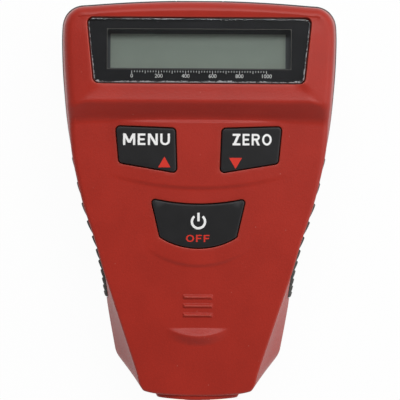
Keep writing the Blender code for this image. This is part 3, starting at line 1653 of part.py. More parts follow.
def contacts():
    """The plates and conical springs at the ends of the battery bay."""
    half = CONTACT_SIZE / 2
    tab = CONTACT_TAB / 2
    y = terminal_y()
    board_low = BOARD_TOP_Z - BOARD_THICK - SEAT_GAP
    for name, x in (("positive_contact", -CELL_X), ("negative_contact", CELL_X)):
        outline_z = [
            (x - half, CELL_Z - half),
            (x + half, CELL_Z - half),
            (x + half, CELL_Z + half),
            (x + tab, CELL_Z + half),
            (x + tab, board_low),
            (x - tab, board_low),
            (x - tab, CELL_Z + half),
            (x - half, CELL_Z + half),
        ]
        bm = bmesh.new()
        rows = [[bm.verts.new((px, py, pz)) for px, pz in outline_z] for py in (y, y + CONTACT_THICK)]
        band(bm, rows[0], rows[1])
        bm.faces.new(rows[0])
        bm.faces.new(reversed(rows[1]))
        made(name, bm, "nickel")
    box(
        "bridge_contact",
        (-CELL_X - half, CELL_X + half),
        (bridge_y(), bridge_y() + CONTACT_THICK),
        (CELL_Z - half, CELL_Z + half),
        "nickel",
    )
    wire = CONTACT_SPRING_WIRE
    cell_end = terminal_y() - SEAT_GAP - CELL_LENGTH
    base = bridge_y() + CONTACT_THICK + SEAT_GAP + wire
    swept_wire(
        "bridge_spring",
        coil_points((-CELL_X, CELL_Z), (base, cell_end - SEAT_GAP - wire), (3.0, 1.6), 2.5, 8),
        wire,
        "nickel",
    )
    cell_end = bridge_y() + CONTACT_THICK + SEAT_GAP + CELL_LENGTH
    base = terminal_y() - SEAT_GAP - wire
    swept_wire(
        "terminal_spring",
        coil_points((CELL_X, CELL_Z), (base, cell_end + SEAT_GAP + wire), (3.0, 1.6), 2.5, 8),
        wire,
        "nickel",
    )


def screw_mesh(length):
    """A pan-head screw with its head's underside at its origin, pointing up."""
    bm = bmesh.new()
    head = add_post(
        bm, 0.0, 0.0, SCREW_HEAD - 0.5, -SCREW_HEAD_THICK, 0.0, top_radius=SCREW_HEAD
    )
    shank = add_post(bm, 0.0, 0.0, SCREW_RADIUS, 0.0, length)
    seam = []
    for verts in (head, shank):
        flat = [
            f
            for f in bm.faces
            if all(v in verts and abs(v.co.z) < 1e-4 for v in f.verts)
        ]
        seam += list(flat[0].edges)
        bmesh.ops.delete(bm, geom=flat, context="FACES_ONLY")
    bmesh.ops.bridge_loops(bm, edges=seam)
    return bm


def screws(name, places, seat_z, length):
    """Screws that enter from the back, one object each."""
    for index, (x, y) in enumerate(places, 1):
        screw = made(f"{name}_{index}", screw_mesh(length), "steel", 40)
        screw.location = (x * MM, y * MM, seat_z * MM)


def main():
    for obj in list(bpy.data.objects):
        bpy.data.objects.remove(obj)
    new_collection("coating_thickness_gauge")
    new_collection("cutters", hidden=True)
    for side, name in ((1, "right_grip"), (-1, "left_grip")):
        grip(name + "_seat", side, None, SEAT_GAP)
        grip(name, side, "grip_rubber")
    front_shell()
    rear_shell()
    battery_door()
    display_lens()
    window_gasket()
    lcd_panel()
    lcd_holder()
    contact_strips()
    circuit_board()
    board_parts()
    for name, (outline, stem) in KEYS.items():
        key_cap(name, outline, stem)
        switch_and_plunger(name, *stem)
    probe()
    cells()
    contacts()
    screws("case_screw", CASE_SCREWS, case_screw_seat(), CASE_SCREW_LENGTH)
    screws("board_screw", BOARD_SCREWS, board_screw_seat(), BOARD_SCREW_LENGTH)


main()
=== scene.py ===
"""Coating thickness gauge: the finished look of a hand-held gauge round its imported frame.

The gauge lies on its back, with its display to +Y and its probe to -Y. Shapes are
worked out in millimetres and turned into metres as each mesh is made.
"""

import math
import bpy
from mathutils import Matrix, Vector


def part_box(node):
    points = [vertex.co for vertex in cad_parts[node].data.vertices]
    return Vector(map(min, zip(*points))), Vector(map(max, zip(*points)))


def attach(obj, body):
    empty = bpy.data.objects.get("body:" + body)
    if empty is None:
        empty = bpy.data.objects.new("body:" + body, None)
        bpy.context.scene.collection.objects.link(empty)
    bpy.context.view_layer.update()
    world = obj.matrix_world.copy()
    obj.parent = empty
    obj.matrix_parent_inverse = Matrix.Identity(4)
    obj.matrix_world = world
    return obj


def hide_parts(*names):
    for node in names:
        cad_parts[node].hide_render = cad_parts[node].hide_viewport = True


bl_info = {
    "name": "Coating thickness gauge",
    "version": (1, 0, 0),
    "blender": (4, 5, 0),
    "location": "3D View > Sidebar > Gauge",
    "description": "Makes the shells, keys, display and finishes of a coating thickness gauge",
    "category": "Object",
}

import bmesh
import bpy
import numpy as np
from mathutils import Matrix, Vector
from mathutils.geometry import delaunay_2d_cdt
from mathutils.kdtree import KDTree

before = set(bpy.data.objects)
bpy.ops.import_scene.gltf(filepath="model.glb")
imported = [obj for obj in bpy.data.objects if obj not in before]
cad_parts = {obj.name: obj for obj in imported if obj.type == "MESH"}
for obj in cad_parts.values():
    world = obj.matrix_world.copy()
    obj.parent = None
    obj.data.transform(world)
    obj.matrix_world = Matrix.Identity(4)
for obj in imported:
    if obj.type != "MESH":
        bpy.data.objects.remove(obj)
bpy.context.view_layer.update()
MM = 0.001


def span(node):
    """A node's lowest and highest corner in millimetres."""
    low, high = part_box(node)
    return low / MM, high / MM


# Fits between pieces
SEAT_GAP = 0.3
RUN_GAP = 0.3

# How far a tool runs into what it joins, and past what it cuts
INTO = 0.5
PAST = 5.0

# Case outline at the parting line
TOP_Y = 50.6
TOP_CORNER = (28.5, 49.3)
CORNER_END = (34.3, 44.0)
TOP_BULGE = 0.33
CORNER_BULGE = 1.75
SIDE_POINTS = [
    (34.4, 40.5),
    (34.0, 30.5),
    (32.6, 16.5),
    (29.3, 0.8),
    (24.9, -13.5),
    (23.6, -25.5),
    (21.2, -39.0),
]
SIDE_END_Y = -13.5
NOSE_CORNER = (14.2, -48.2)
NOSE_SHOULDER = (10.9, -48.4)
NOSE_Y = -48.6

# Face outline, where the front wall ends
WALL_DRAFT = 0.6
DISPLAY_DRAFT = 1.5
TOP_DRAFT = 1.9
DRAFT_FROM_Y = 10.0
DRAFT_FULL_Y = 25.0
CORNER_EASE_Y = 34.0
FACET_START = (23.4, -16.6)
FACET_END = (15.0, -42.5)
FACET_FOOT = (14.4, -45.3)
FACET_CORNER = (13.4, -46.8)
FACE_SHOULDER_Y = -47.4
FACE_NOSE_Y = -48.0

# Levels, from the frame where a node gives them
LENS_TOP_Z = span("display_lens")[1].z
BOARD_TOP_Z = span("circuit_board")[1].z
BOARD_LOW_Z = span("circuit_board")[0].z
PROBE_Z = (span("probe_sleeve")[0].z + span("probe_sleeve")[1].z) / 2
PLATEAU_Z = LENS_TOP_Z + 0.8
PLATEAU_FALL = 0.16
LIP_DIP = 0.5
CREST_SINK = 0.2
CREST_Y = 24.3
DROP_SLOPE = 1.0
FACE_TOP_Y = 20.0
FACE_TOP_Z = PLATEAU_Z - 4.0
FACE_FALL = 0.0494
FACE_FALL_CURVE = 0.000424
CROWN_RADIUS = 900.0
PLATEAU_ROUND = 2.3
FACE_ROUND = 1.6
LENS_SOFT = 0.6
LIP_FADE = 2.5
DROP_SOFT = 0.5
FACE_SOFT = 0.8
NOSE_ROUND = 0.6
ROUND_STEPS = 9
RIM_STEPS = 4

# Distances between points on the surfaces that no finish shows closely
INNER_SPACING = 2.5
LEDGE_SPACING = 3.0
FLOOR_SPACING = 5.0
LENS_SPACING = 2.0
ROW_PITCH = 0.866
MERGE = 1e-5

# Steps, bars and thumb stop moulded on the face
PAD_RISE = 0.45
PAD_TOP_Y = 19.6
PAD_EDGE = 1.2
PAD_TOP_EDGE = 0.7
STEP_1 = (3.0, 22.0, 77.0)
STEP_2 = (-16.1, 13.0, 21.4)
STEP_2_FADE = 14.0
BAR_Y = [-23.2, -25.4, -27.7]
BAR_HALF = 3.75
BAR_WIDTH = 1.25
BAR_RISE = 0.5
BAR_EDGE = 0.58
STOP_Y = -30.9
STOP_HALF = 8.0
STOP_DEPTH = 1.85
STOP_RISE = 1.2
STOP_FADE = 2.8
STOP_POWER = 1.7
STOP_SOFT = 0.25

# Arched bevel above the lens
BROW_HALF = 26.9
BROW_END_Y = 45.3
BROW_TOP_Y = 46.3
BROW_SLOPE = 0.38
BROW_FADE = 4.0

# Parting line and walls
PART_Z = 13.5
PART_NOSE_Z = 3.8
PART_SWOOP_TOP_Y = 10.0
PART_SWOOP_END_Y = -25.0
PART_CHAMFER = 0.2
SHELL_WALL = 2.2
SHELL_ROOF = 2.0
WALL_ROWS = (0.33, 0.66)
SKIRT_WALL = 1.0
LIP_HEIGHT = 0.8
LIP_WALL = 0.8
BACK_RISE_Y = -28.0
BACK_NOSE_Z = 2.0
BACK_ROUND = 4.4
BACK_ROUND_SHARE = 0.6
BACK_DRAFT = 0.7
BACK_FLOOR = 1.9
BACK_WALL_MORE = 0.4
REAR_FLARE = 0.28
TOP_FLARE = 0.13
FLARE_FROM_Y = -20.0
FLARE_SPAN = 60.0
TOP_FLARE_Y = 45.0
TOP_FLARE_SPAN = 4.0

# Display stack
LENS_TOP_Y = 44.5
LENS_TOP_HALF = 26.9
LENS_BOTTOM_Y = 29.0
LENS_BOTTOM_HALF = 25.3
LENS_CORNER = 1.2
LENS_THICK = 1.0
LENS_EDGE = 0.3
INK_LEVELS = (-0.1, -0.04)
INK_INSET = 0.1
SCALE_LEVEL = -0.02
GASKET_THICK = 0.5
LEDGE_THICK = 1.4
WINDOW_HALF = 22.2
WINDOW_BOTTOM_Y = 32.4
WINDOW_TOP_Y = 42.0
WINDOW_CORNER = 0.4
SILL_GROW = 0.4
LEDGE_Z = LENS_TOP_Z - LENS_THICK - GASKET_THICK - 2 * SEAT_GAP
GLASS_Y = (32.9, 41.25)
GLASS_X = (-21.7, 21.1)

# Printed scale under the window
SCALE_Y = 31.95
SCALE_HALF = 16.3
SCALE_TICKS = 51
SCALE_STEP = 20
SCALE_LONG = 5
SCALE_SKIP = 2
SCALE_DIGIT = 0.95
SCALE_DIGIT_DROP = 1.3

# Keys
KEY_PROUD = 0.4
KEY_SWELL = 0.07
KEY_CORNER = 0.8
KEY_FLANGE = 1.1
KEY_FLANGE_THICK = 0.9
KEY_FOOT = 0.4
KEY_SPACING = 0.8
KEY_REACH = 2.0
STEM_INTO = 0.2
SIDE_KEY = [(5.8, 18.0), (20.1, 18.5), (19.3, 9.85), (5.45, 7.45)]
SIDE_KEY_STEM = (12.6, 13.2)
OFF_KEY_TOP = (11.4, 0.8, 1.3)
OFF_KEY_BOTTOM = (9.3, -8.3, 2.7)
OFF_KEY_CORNER = 0.6
OFF_KEY_STEM = (0.0, -4.6)
STEM_RADIUS = 2.2
LETTER_GAP = 0.2
DIGIT_SHARE = 0.72

# Nose collar and the bore for the probe
COLLAR_END_Y = -49.0
COLLAR_ROOT_HALF = 10.9
COLLAR_END_HALF = 10.2
COLLAR_BOW = 0.5
COLLAR_TOP_Z = 18.1
COLLAR_SIDE_Z = 16.6
COLLAR_LIFT = 0.4
COLLAR_PARTS = 12
SLEEVE_RADIUS = 4.8
SLEEVE_BODY_RADIUS = 5.4
SLEEVE_SHOULDER_Y = -46.0
SADDLE_Y = -38.8
SADDLE_THICK = 1.4
SADDLE_HALF = 8.0
SADDLE_SPLIT = 0.2
BORE_START_Y = -32.0
BORE_PAST_Y = -52.0
BORE_CHAMFER = 0.4

# Screws and their bosses
CASE_SCREWS = [(-28.3, 43.9), (28.3, 43.9), (-14.5, -31.0), (14.5, -31.0)]
BOARD_SCREWS = [(-19.3, 26.4), (19.3, 26.4), (0.0, -20.5)]
BOSS_RADIUS = 2.8
POST_RADIUS = 2.3
BOSS_FOOT_Z = 1.2
BOSS_JOIN_Z = 9.0
COUNTERBORE_Z = 5.5
COUNTERBORE_CHAMFER = 0.3
CLEARANCE_END_Z = 12.0
SCREW_HEAD = 1.8
SCREW_HEAD_THICK = 1.4
SCREW_RADIUS = 1.1
CASE_SCREW_LENGTH = 9.0
BOARD_SCREW_LENGTH = 5.0
PILOT_DEPTH = 0.5

# Battery bay
CELL_RADIUS = 5.25
CELL_X = 5.6
CELL_Z = (span("left_cell")[0].z + span("left_cell")[1].z) / 2
BAY_HALF = 15.3
BAY_WALL = 1.2
BAY_END_WALL = 1.6
BAY_SINK = 0.7
BAY_START_Y = -2.5
BAY_END_Y = 47.3
BAY_ROOF_Z = 13.0
RIB_INSET = 7.6
RIB_THICK = 1.2
DOOR_HALF = 13.5
DOOR_START_Y = span("battery_door")[0].y
DOOR_END_HALF = 15.0
DOOR_END_TOP_Z = 9.0
DOOR_TONGUE = 0.8
TAB_HALF = 5.75
TAB_TOP_Z = 12.8
TAB_END_Y = span("battery_door")[1].y
TAB_THICK = 1.1
DOOR_FACE_Z = span("battery_door")[0].z
DOOR_THICK = 1.7
DOOR_END_THICK = 2.0
DOOR_TONGUE_HALF = 14.9
DOOR_WELL_INSET = 1.6
DOOR_WELL_TOP_Z = 8.0
DOOR_CORNER_RUN = 1.6
DOOR_CORNER_RISE = 3.2
DOOR_SPINE_RISE = 0.8
DOOR_EDGE = 0.18
DOOR_END_SINK = 0.1
DOOR_ROUND_LESS = 0.2
DOOR_END_START = 1.2
DOOR_END_LIFT = 0.4
DOOR_WELL_CUT = 0.3
TAB_ROOT = 1.5
TAB_RECESS_ROOT = 1.0
RAIL_START = 1.0
RAIL_END = 2.0
GROOVE_SINK = 0.12
GROOVES = 8
GROOVE_START_Y = 30.0
GROOVE_PITCH = 1.5

# Side grips
GRIP_TOP_Y = 11.9
GRIP_FIRST_PITCH = 6.25
GRIP_PITCH_RATIO = 0.86
GRIP_SCALLOPS = 11
GRIP_INSET = 0.9
GRIP_PROUD = [(12.0, 0.25), (5.0, 0.4), (-6.0, 0.95), (-14.0, 1.1), (-24.5, 0.6)]
GRIP_VALLEY = 0.15
GRIP_SHOULDER = 0.14
GRIP_LOW_Z = (6.0, 3.4)
GRIP_HIGH_Z = (17.6, 7.4)
GRIP_EDGE = 1.4
GRIP_EDGE_SHARE = 0.2
GRIP_SHARES = (0.02, 0.05, 0.09, 0.14, 0.22, 0.32, 0.42, 0.52, 0.62, 0.72, 0.82, 0.9, 0.96, 0.98)
GRIP_POWER = 1.8
GRIP_DEEPEST = -0.6
GRIP_ROWS = 14
SEAT_ROWS = 4
SEAT_PROUD = 4.0

# Camera: the picture spans VIEW_SPAN at the height VIEW_LEVEL
VIEW_SPAN = 97.8
VIEW_LEVEL = 23.0
VIEW_DISTANCE = 305.0
VIEW_CENTRE = (0.4, 0.7)
VIEW_TURN = 0.33
SENSOR = 36.0
FLOOR_HALF = 2000.0
FLOOR_SINK = 0.05


# Properties

def length_property(name, description, millimetres):
    return bpy.props.FloatProperty(
        name=name, description=description, default=millimetres * MM, min=0.0, unit="LENGTH", precision=5
    )


def colour_property(name, description, colour):
    return bpy.props.FloatVectorProperty(
        name=name, description=description, default=colour, min=0.0, max=1.0, size=3, subtype="COLOR"
    )


class GaugeSizes(bpy.types.PropertyGroup):
    """Sizes that can be changed without touching the frame."""

    face_spacing: length_property("Face spacing", "Distance between points on the plain face", 0.85)
    outline_spacing: length_property("Outline spacing", "Distance between points along an outline", 0.8)
    opening_round: length_property("Opening radius", "Radius round the openings in the face", 0.22)
    key_round: length_property("Key radius", "Radius round the top of each key", 0.4)
    print_height: length_property("Print height", "How far printed signs stand on a surface", 0.03)
    texture_grain: length_property("Texture grain", "Grain of the moulded texture", 0.16)


class GaugeColours(bpy.types.PropertyGroup):
    """Colours of the finishes."""

    case: colour_property("Case", "Moulded front shell", (0.352, 0.0165, 0.0065))
    back: colour_property("Back", "Moulded rear shell and battery door", (0.035, 0.035, 0.037))
    grip: colour_property("Grip", "Rubber of the side grips", (0.052, 0.050, 0.045))
    key: colour_property("Key", "Rubber of the keys", (0.0055, 0.0055, 0.0062))
    border: colour_property("Border", "Printed border under the lens", (0.0085, 0.0085, 0.0105))
    glass: colour_property("Display", "Reflector behind the display's glass", (0.255, 0.302, 0.256))
    sign: colour_property("White print", "White signs on the keys and the lens", (0.85, 0.85, 0.84))
    red_sign: colour_property("Red print", "Red signs on the keys", (0.62, 0.022, 0.008))


def size(name):
    """A size of the panel in millimetres."""
    return getattr(bpy.context.scene.gauge_sizes, name) / MM


def colour(name):
    return (*getattr(bpy.context.scene.gauge_colours, name), 1.0)


# Small tools

def lerp(a, b, t):
    return a + (b - a) * t


def lerp_point(a, b, t):
    return lerp(a[0], b[0], t), lerp(a[1], b[1], t)


def reach(half, middle=0.0):
    """The two ends that lie half a width off a middle."""
    return middle - half, middle + half


def ease(t):
    t = min(max(t, 0.0), 1.0)
    return t * t * (3.0 - 2.0 * t)


def soft_min(a, b, width):
    """The lower of two levels, rounded over the given width where they cross."""
    h = max(width - abs(a - b), 0.0) / width
    return min(a, b) - h * h * width * 0.25


def soft_max(a, b, width):
    return -soft_min(-a, -b, width)


def finished(obj, body, finish, replaced=()):
    """Gives a piece its finish and its body, and hides the nodes that it replaces."""
    if finish is not None:
        obj.data.materials.clear()
        obj.data.materials.append(finish)
    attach(obj, body)
    if replaced:
        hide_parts(*replaced)
    return obj


def linked(name, data):
    """A new object of the scene."""
    obj = bpy.data.objects.new(name, data)
    bpy.context.scene.collection.objects.link(obj)
    return obj


def smoothed(mesh, angle):
    """The mesh, smooth but for edges sharper than an angle in degrees."""
    mesh.shade_smooth()
    mesh.set_sharp_from_angle(angle=math.radians(angle))
    return mesh


def made(name, bm, smooth_angle=40):
    """Writes a bmesh that was built in millimetres as an object in metres."""
    bmesh.ops.recalc_face_normals(bm, faces=bm.faces)
    bmesh.ops.scale(bm, vec=Vector((MM, MM, MM)), verts=bm.verts)
    mesh = bpy.data.meshes.new(name)
    bm.to_mesh(mesh)
    bm.free()
    return linked(name, smoothed(mesh, smooth_angle))


def evaluated_mesh(obj):
    """What an object shows once it is evaluated, as a mesh of its own."""
    bpy.context.view_layer.update()
    return bpy.data.meshes.new_from_object(obj.evaluated_get(bpy.context.evaluated_depsgraph_get()))


def apply_modifiers(obj, smooth_angle=40):
    """Turns an object with its modifiers into a plain mesh."""
    mesh = evaluated_mesh(obj)
    obj.modifiers.clear()
    obj.data = smoothed(mesh, smooth_angle)
    return obj


def combine(obj, operation, tool):
    """Adds or cuts one closed mesh and removes the tool."""
    modifier = obj.modifiers.new(tool.name, "BOOLEAN")
    modifier.operation = operation
    modifier.object = tool
    modifier.solver = "EXACT"
    apply_modifiers(obj)
    bpy.data.objects.remove(tool)


def round_edges(obj, width, segments=3, angle=40.0):
    modifier = obj.modifiers.new("edges", "BEVEL")
    modifier.width = width * MM
    modifier.segments = segments
    modifier.limit_method = "ANGLE"
    modifier.angle_limit = math.radians(angle)
    return apply_modifiers(obj, 25)


def add_box(bm, x, y, z):
    """A box between the two ends given on each axis."""
    for v in bmesh.ops.create_cube(bm, size=1.0)["verts"]:
        v.co.x = x[0] if v.co.x < 0 else x[1]
        v.co.y = y[0] if v.co.y < 0 else y[1]
        v.co.z = z[0] if v.co.z < 0 else z[1]


def box_piece(name, *boxes):
    """A piece made of boxes that never touch."""
    bm = bmesh.new()
    for box in boxes:
        add_box(bm, *box)
    return made(name, bm)


def add_cylinder(bm, radius, length, steps):
    return bmesh.ops.create_cone(
        bm, cap_ends=True, segments=steps, radius1=radius, radius2=radius, depth=length
    )["verts"]


def add_post(bm, x, y, radius, low, high, steps=32):
    """An upright cylinder between two levels."""
    verts = add_cylinder(bm, radius, high - low, steps)
    bmesh.ops.translate(bm, vec=Vector((x, y, (low + high) / 2)), verts=verts)


def add_rod(bm, x, z, radius, y):
    """A cylinder along the Y axis between two stations."""
    for v in add_cylinder(bm, radius, y[1] - y[0], 40):
        v.co = Vector((v.co.x + x, v.co.z + (y[0] + y[1]) / 2, v.co.y + z))


# Outlines

def rounded(corners, radius, steps=8):
    """An outline with each sharp corner of a polygon turned into an arc."""
    outline = []
    count = len(corners)
    for i, corner in enumerate(corners):
        here = Vector(corner)
        back = (Vector(corners[i - 1]) - here).normalized()
        ahead = (Vector(corners[(i + 1) % count]) - here).normalized()
        half_angle = back.angle(ahead) / 2
        if half_angle > math.radians(75):
            outline.append(tuple(here))
            continue
        centre = here + (back + ahead).normalized() * radius / math.sin(half_angle)
        start = here + back * radius / math.tan(half_angle) - centre
        end = here + ahead * radius / math.tan(half_angle) - centre
        turn = -start.angle_signed(end)
        for k in range(steps + 1):
            cos, sin = math.cos(turn * k / steps), math.sin(turn * k / steps)
            spoke = Vector((start.x * cos - start.y * sin, start.x * sin + start.y * cos))
            outline.append(tuple(centre + spoke))
    return outline


def dense(outline, step=None):
    """The closed outline with points added along its longer sides."""
    step = step or size("outline_spacing")
    filled = []
    for i, point in enumerate(outline):
        after = outline[(i + 1) % len(outline)]
        parts = max(1, round(math.dist(point, after) / step))
        filled += [lerp_point(point, after, k / parts) for k in range(parts)]
    return filled


def mirrored(outline):
    return [(-x, y) for x, y in reversed(outline)]


def on_ellipse(centre, radii, angles):
    """Points of an ellipse at angles in radians."""
    return [(centre[0] + radii[0] * math.cos(a), centre[1] + radii[1] * math.sin(a)) for a in angles]


def arc_through(start, end, bulge, steps):
    """Points on the arc from start to end whose middle stands off the chord by bulge."""
    a, b = Vector(start), Vector(end)
    chord = b - a
    side = Vector((-chord.y, chord.x)).normalized()
    radius = (chord.length**2 / 4 + bulge**2) / (2 * bulge)
    centre = (a + b) / 2 + side * (bulge - radius)
    first = math.atan2(a.y - centre.y, a.x - centre.x)
    sweep = math.atan2(b.y - centre.y, b.x - centre.x) - first
    sweep = (sweep + math.pi) % (2 * math.pi) - math.pi
    angles = [first + sweep * k / steps for k in range(steps + 1)]
    return on_ellipse(centre, (abs(radius), abs(radius)), angles)


def inset(outline, distance):
    """The clockwise outline moved inwards, by one number or by one for each point."""
    points = np.array(outline)
    ahead = np.roll(points, -1, axis=0) - points
    ahead /= np.linalg.norm(ahead, axis=1)[:, None]
    back = np.roll(ahead, 1, axis=0)
    side = np.stack([ahead[:, 1], -ahead[:, 0]], axis=1)
    normal = side + np.stack([back[:, 1], -back[:, 0]], axis=1)
    normal /= np.linalg.norm(normal, axis=1)[:, None]
    stretch = 1.0 / np.maximum((normal * side).sum(1), 0.5)
    moved = points + normal * (np.asarray(distance) * stretch)[:, None]
    return [tuple(p) for p in moved.tolist()]


def eased(outline, passes=2):
    """The closed outline with its sharp corners rounded a little."""
    points = np.array(outline)
    for _ in range(passes):
        points = (np.roll(points, 1, axis=0) + 2 * points + np.roll(points, -1, axis=0)) / 4
    return [tuple(p) for p in points.tolist()]


def side_half(y):
    """Half the case's width at the parting line, smooth through the side points."""
    points = [CORNER_END, *SIDE_POINTS]
    index = 0
    while index < len(points) - 2 and y < points[index + 1][1]:
        index += 1
    (x0, y0), (x1, y1) = points[index], points[index + 1]
    before = points[max(index - 1, 0)]
    after = points[min(index + 2, len(points) - 1)]
    start_slope = (x1 - before[0]) / (y1 - before[1])
    end_slope = (after[0] - x0) / (after[1] - y0)
    span_y = y1 - y0
    t = (y - y0) / span_y
    return (
        (2 * t**3 - 3 * t**2 + 1) * x0
        + (t**3 - 2 * t**2 + t) * span_y * start_slope
        + (3 * t**2 - 2 * t**3) * x1
        + (t**3 - t**2) * span_y * end_slope
    )


def in_parts(corners, parts):
    """Points along a chain of corners, without its first one."""
    points = []
    for a, b in zip(corners, corners[1:]):
        points += [lerp_point(a, b, k / parts) for k in range(1, parts + 1)]
    return points


def wall_draft(y):
    """How far the front wall leans in: more round the display end."""
    return lerp(WALL_DRAFT, DISPLAY_DRAFT, ease((y - DRAFT_FROM_Y) / (DRAFT_FULL_Y - DRAFT_FROM_Y)))


def outlines():
    """The whole parting outline and face outline, point for point, clockwise from the top."""
    parting = arc_through((0.0, TOP_Y), TOP_CORNER, TOP_BULGE, 26)
    parting += arc_through(TOP_CORNER, CORNER_END, CORNER_BULGE, 14)[1:]
    face = [(x - DISPLAY_DRAFT * x / CORNER_END[0], y - TOP_DRAFT) for x, y in parting]
    for y in np.linspace(CORNER_END[1], SIDE_END_Y, 60)[1:].tolist():
        lowered = TOP_DRAFT * ease((y - CORNER_EASE_Y) / (CORNER_END[1] - CORNER_EASE_Y))
        parting.append((side_half(y), y))
        face.append((side_half(y) - wall_draft(y), y - lowered))
    corner = SIDE_POINTS[-1]
    for t in np.linspace(0.0, 1.0, 26).tolist():
        y = lerp(FACET_START[1], corner[1], t)
        parting.append((side_half(y), y))
        face.append(lerp_point(FACET_START, FACET_END, t))
    middle = ((corner[0] + NOSE_CORNER[0]) / 2, (corner[1] + NOSE_CORNER[1]) / 2)
    shoulder = (NOSE_SHOULDER[0], FACE_SHOULDER_Y)
    parting += in_parts([corner, middle, NOSE_CORNER, NOSE_SHOULDER], 6)
    face += in_parts([FACET_END, FACET_FOOT, FACET_CORNER, shoulder], 6)
    for x in np.linspace(NOSE_SHOULDER[0], 0.0, 14)[1:].tolist():
        bow = (x / NOSE_SHOULDER[0]) ** 2
        parting.append((x, lerp(NOSE_Y, NOSE_SHOULDER[1], bow)))
        face.append((x, lerp(FACE_NOSE_Y, FACE_SHOULDER_Y, bow)))
    return tuple(eased(half + mirrored(half[1:-1])) for half in (parting, face))


def half_at(outline, y):
    """Half the width of an outline beside a given level."""
    side = sorted((p[1], p[0]) for p in outline if p[0] > 12 and NOSE_CORNER[1] < p[1] < CORNER_END[1] + 0.1)
    return float(np.interp(y, [p[0] for p in side], [p[1] for p in side]))


def lens_outline(grow=0.0):
    corners = [
        (-LENS_TOP_HALF, LENS_TOP_Y),
        (LENS_TOP_HALF, LENS_TOP_Y),
        (LENS_BOTTOM_HALF, LENS_BOTTOM_Y),
        (-LENS_BOTTOM_HALF, LENS_BOTTOM_Y),
    ]
    return inset(dense(rounded(corners, LENS_CORNER)), -grow)


def window_outline(grow=0.0):
    half, low, high = WINDOW_HALF + grow, WINDOW_BOTTOM_Y - grow, WINDOW_TOP_Y + grow
    return dense(rounded([(-half, high), (half, high), (half, low), (-half, low)], WINDOW_CORNER, 4))


def side_key_outline(side, grow=0.0):
    outline = inset(dense(rounded(SIDE_KEY, KEY_CORNER)), -grow)
    return outline if side > 0 else mirrored(outline)


def off_key_outline(grow=0.0):
    half, y, sag = OFF_KEY_TOP
    top = arc_through((-half, y), (half, y), -sag, 24)
    half, y, sag = OFF_KEY_BOTTOM
    bottom = arc_through((half, y), (-half, y), sag, 20)
    return inset(dense(rounded(top + bottom, OFF_KEY_CORNER, 6)), -grow)


KEYS = {
    "mode": (lambda grow=0.0: side_key_outline(-1, grow), (-SIDE_KEY_STEM[0], SIDE_KEY_STEM[1])),
    "unit": (lambda grow=0.0: side_key_outline(1, grow), SIDE_KEY_STEM),
    "off": (off_key_outline, OFF_KEY_STEM),
}


# Levels

def part_level(y):
    """The parting line: high round the display end, low round the nose."""
    t = (PART_SWOOP_TOP_Y - y) / (PART_SWOOP_TOP_Y - PART_SWOOP_END_Y)
    return lerp(PART_Z, PART_NOSE_Z, ease(t))


def back_level(y):
    return BACK_NOSE_Z * ease((BACK_RISE_Y - y) / (BACK_RISE_Y - NOSE_CORNER[1]))


def edge_round(y):
    """The radius where the front face meets its walls, from the nose up to the display."""
    low = lerp(NOSE_ROUND, FACE_ROUND, ease((y - FACET_START[1]) / (FACE_TOP_Y - FACET_START[1])))
    return lerp(low, PLATEAU_ROUND, ease((y - FACE_TOP_Y) / (CREST_Y - FACE_TOP_Y)))


def back_round(y):
    return min(BACK_ROUND, BACK_ROUND_SHARE * (part_level(y) - SEAT_GAP - back_level(y)))


def plain_level(x, y):
    """The front face without its pads, bars and thumb stop."""
    fall = FACE_TOP_Y - y
    main = FACE_TOP_Z - FACE_FALL * fall - FACE_FALL_CURVE * fall * abs(fall)
    main -= x * x / (2 * CROWN_RADIUS)
    t = (LENS_TOP_Y - y) / (LENS_TOP_Y - LENS_BOTTOM_Y)
    beside = abs(x) - lerp(LENS_TOP_HALF, LENS_BOTTOM_HALF, t)
    below = LENS_BOTTOM_Y - y
    off_lens = max(soft_max(soft_max(beside, below, LENS_SOFT), y - LENS_TOP_Y, LENS_SOFT), 0.0)
    plateau = PLATEAU_Z - PLATEAU_FALL * off_lens
    if below > 0.0:
        lip = PLATEAU_Z - lerp(LIP_DIP, CREST_SINK, (below / (LENS_BOTTOM_Y - CREST_Y)) ** 2)
        plateau = lerp(plateau, lip, ease((below - beside) / LIP_FADE))
    drop = PLATEAU_Z - CREST_SINK - DROP_SLOPE * (CREST_Y - y)
    return soft_max(main, soft_min(plateau, drop, DROP_SOFT), FACE_SOFT)


def step_line(x, y_middle, radius):
    return y_middle + radius - math.sqrt(radius * radius - x * x)


def pad_rise(x, y):
    """The two curved steps below the keys, which fade out towards their ends."""
    rise = 0.0
    upper = step_line(x, STEP_1[0], STEP_1[2])
    if abs(x) < STEP_1[1]:
        fade = 1.0 - (x / STEP_1[1]) ** 2
        top = ease((PAD_TOP_Y + PAD_TOP_EDGE - y) / PAD_TOP_EDGE)
        rise += PAD_RISE * fade * ease((y - upper) / PAD_EDGE) * top
    if abs(x) < STEP_2[1]:
        fade = 1.0 - (x / STEP_2[1]) ** 2
        below = (y - step_line(x, STEP_2[0], STEP_2[2])) / PAD_EDGE
        rise += PAD_RISE * fade * ease(below) * ease((upper - y) / STEP_2_FADE)
    return rise


def stop_rise(x, y):
    """The thumb stop: a ramp down from a curved crest to a straight edge."""
    if abs(x) >= STOP_HALF or y > STOP_Y:
        return 0.0
    depth = STOP_DEPTH * (1.0 - (x / STOP_HALF) ** 2)
    height = STOP_RISE * (depth / STOP_DEPTH) ** STOP_POWER
    ramp = height * (STOP_Y - y) / max(depth, 1e-6)
    fall = height * (1.0 - (STOP_Y - depth - y) / STOP_FADE)
    if y > STOP_Y - depth:
        return soft_min(ramp, height, STOP_SOFT * height + 1e-6)
    return height * ease(fall / max(height, 1e-6))


